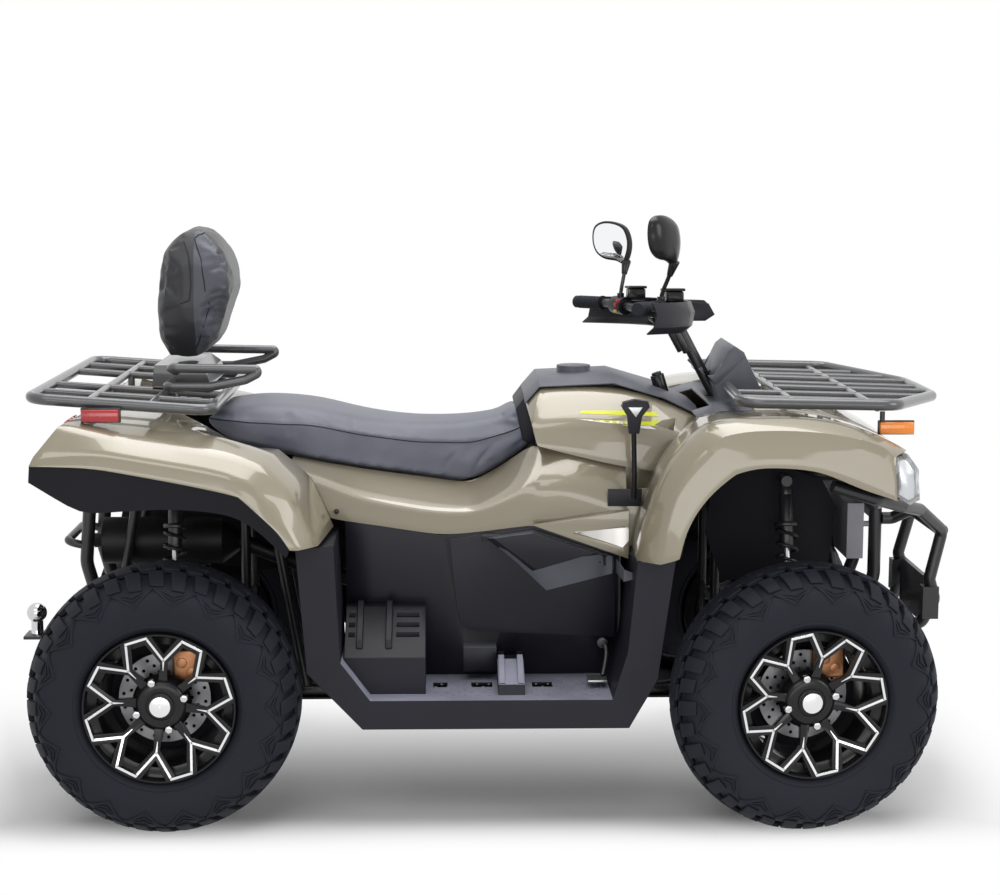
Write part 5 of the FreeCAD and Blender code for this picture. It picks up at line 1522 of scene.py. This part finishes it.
def studio_floor():
    """Pale floor that keeps the vehicle's shadow and turns white away from it."""
    bpy.ops.mesh.primitive_plane_add(size=60.0, location=(0.0, 0.0, 0.0))
    floor = bpy.context.object
    floor.name = "studio_floor"
    material = surface("studio_white", (0.86, 0.86, 0.86), 0.7, {"Specular IOR Level": 0.1})
    tree = material.node_tree
    place = tree.nodes.new("ShaderNodeTexCoord")
    axes = tree.nodes.new("ShaderNodeSeparateXYZ")
    tree.links.new(place.outputs["Object"], axes.inputs["Vector"])
    length = combined(tree, "ABSOLUTE", axes.outputs["X"])
    reaches = []
    for value, (start, end) in ((axes.outputs["Y"], FLOOR_BEHIND),
                                (axes.outputs["Y"], FLOOR_AHEAD), (length, FLOOR_ENDS)):
        reach = map_range(tree, value, from_min=start, from_max=end)
        reach.interpolation_type = "SMOOTHSTEP"
        reaches.append(reach.outputs["Result"])
    behind, ahead, ends = reaches
    far = combined(tree, "MAXIMUM", combined(tree, "MAXIMUM", behind, ahead), ends)
    white = combined(tree, "MULTIPLY", far, seen_rays(tree))
    shine = tree.nodes.new("ShaderNodeEmission")
    blend = tree.nodes.new("ShaderNodeMixShader")
    tree.links.new(white, blend.inputs["Fac"])
    tree.links.new(tree.nodes["Principled BSDF"].outputs["BSDF"], blend.inputs[1])
    tree.links.new(shine.outputs["Emission"], blend.inputs[2])
    tree.links.new(blend.outputs["Shader"], tree.nodes["Material Output"].inputs["Surface"])
    floor.data.materials.append(material)


def studio_world():
    """White where the camera looks, and dimmer where it only lights."""
    world = bpy.data.worlds.new("studio_world")
    bpy.context.scene.world = world
    world.use_nodes = True
    tree = world.node_tree
    background = tree.nodes["Background"]
    background.inputs["Color"].default_value = (1.0, 1.0, 1.0, 1.0)
    level = map_range(tree, seen_rays(tree), to_min=WORLD_LIGHT, to_max=1.0)
    tree.links.new(level.outputs["Result"], background.inputs["Strength"])


def area_lamp(name, place, target, width, height, power):
    """Soft rectangular lamp aimed at a point."""
    bpy.ops.object.light_add(type="AREA", location=place)
    lamp = bpy.context.object
    lamp.name = name
    lamp.data.shape = "RECTANGLE"
    lamp.data.size = width
    lamp.data.size_y = height
    lamp.data.energy = power
    away = Vector(target) - Vector(place)
    lamp.rotation_euler = away.to_track_quat("-Z", "Y").to_euler()


class QUAD_OT_stage(bpy.types.Operator):
    """Set the floor, the world, the lamps and the camera"""
    bl_idname = "quad.stage"
    bl_label = "Studio"

    def execute(self, context):
        studio_floor()
        studio_world()
        for name, lamp in LAMPS.items():
            area_lamp(name, *lamp)
        bpy.ops.object.camera_add(location=(-0.0933, -4.9156, 1.5353))
        camera = context.object
        camera.name = "photo_camera"
        camera.rotation_euler = (math.radians(81.783), math.radians(-0.115),
                                 math.radians(-1.645))
        camera.data.lens = context.scene.quad_sizes.lens
        camera.data.sensor_width = 36.0
        context.scene.camera = camera
        context.scene.view_settings.view_transform = "Standard"
        return {"FINISHED"}


class QUAD_PT_panel(bpy.types.Panel):
    """Sizes, colours and pieces of the quad bike"""
    bl_label = "Quad bike"
    bl_idname = "QUAD_PT_panel"
    bl_space_type = "VIEW_3D"
    bl_region_type = "UI"
    bl_category = "Quad bike"

    def draw(self, context):
        layout = self.layout
        for group in (context.scene.quad_sizes, context.scene.quad_colours):
            for name in group.__annotations__:
                layout.prop(group, name)
        for operator in OPERATORS:
            layout.operator(operator.bl_idname)


OPERATORS = (QUAD_OT_finishes, QUAD_OT_panels, QUAD_OT_tyres, QUAD_OT_rims, QUAD_OT_seat,
             QUAD_OT_footwells, QUAD_OT_shocks, QUAD_OT_lamps, QUAD_OT_bars, QUAD_OT_trim,
             QUAD_OT_stage)
CLASSES = (QuadColours, QuadSizes, *OPERATORS, QUAD_PT_panel)


def register():
    for entry in CLASSES:
        bpy.utils.register_class(entry)
    bpy.types.Scene.quad_colours = bpy.props.PointerProperty(type=QuadColours)
    bpy.types.Scene.quad_sizes = bpy.props.PointerProperty(type=QuadSizes)


def unregister():
    del bpy.types.Scene.quad_sizes
    del bpy.types.Scene.quad_colours
    for entry in reversed(CLASSES):
        bpy.utils.unregister_class(entry)


def main():
    register()
    bpy.ops.object.select_all(action="DESELECT")
    bpy.ops.quad.finishes()
    bpy.ops.quad.panels()
    bpy.ops.quad.tyres()
    bpy.ops.quad.rims()
    bpy.ops.quad.seat()
    bpy.ops.quad.footwells()
    bpy.ops.quad.shocks()
    bpy.ops.quad.lamps()
    bpy.ops.quad.bars()
    bpy.ops.quad.trim()
    bpy.ops.quad.stage()


if __name__ == "__main__":
    main()
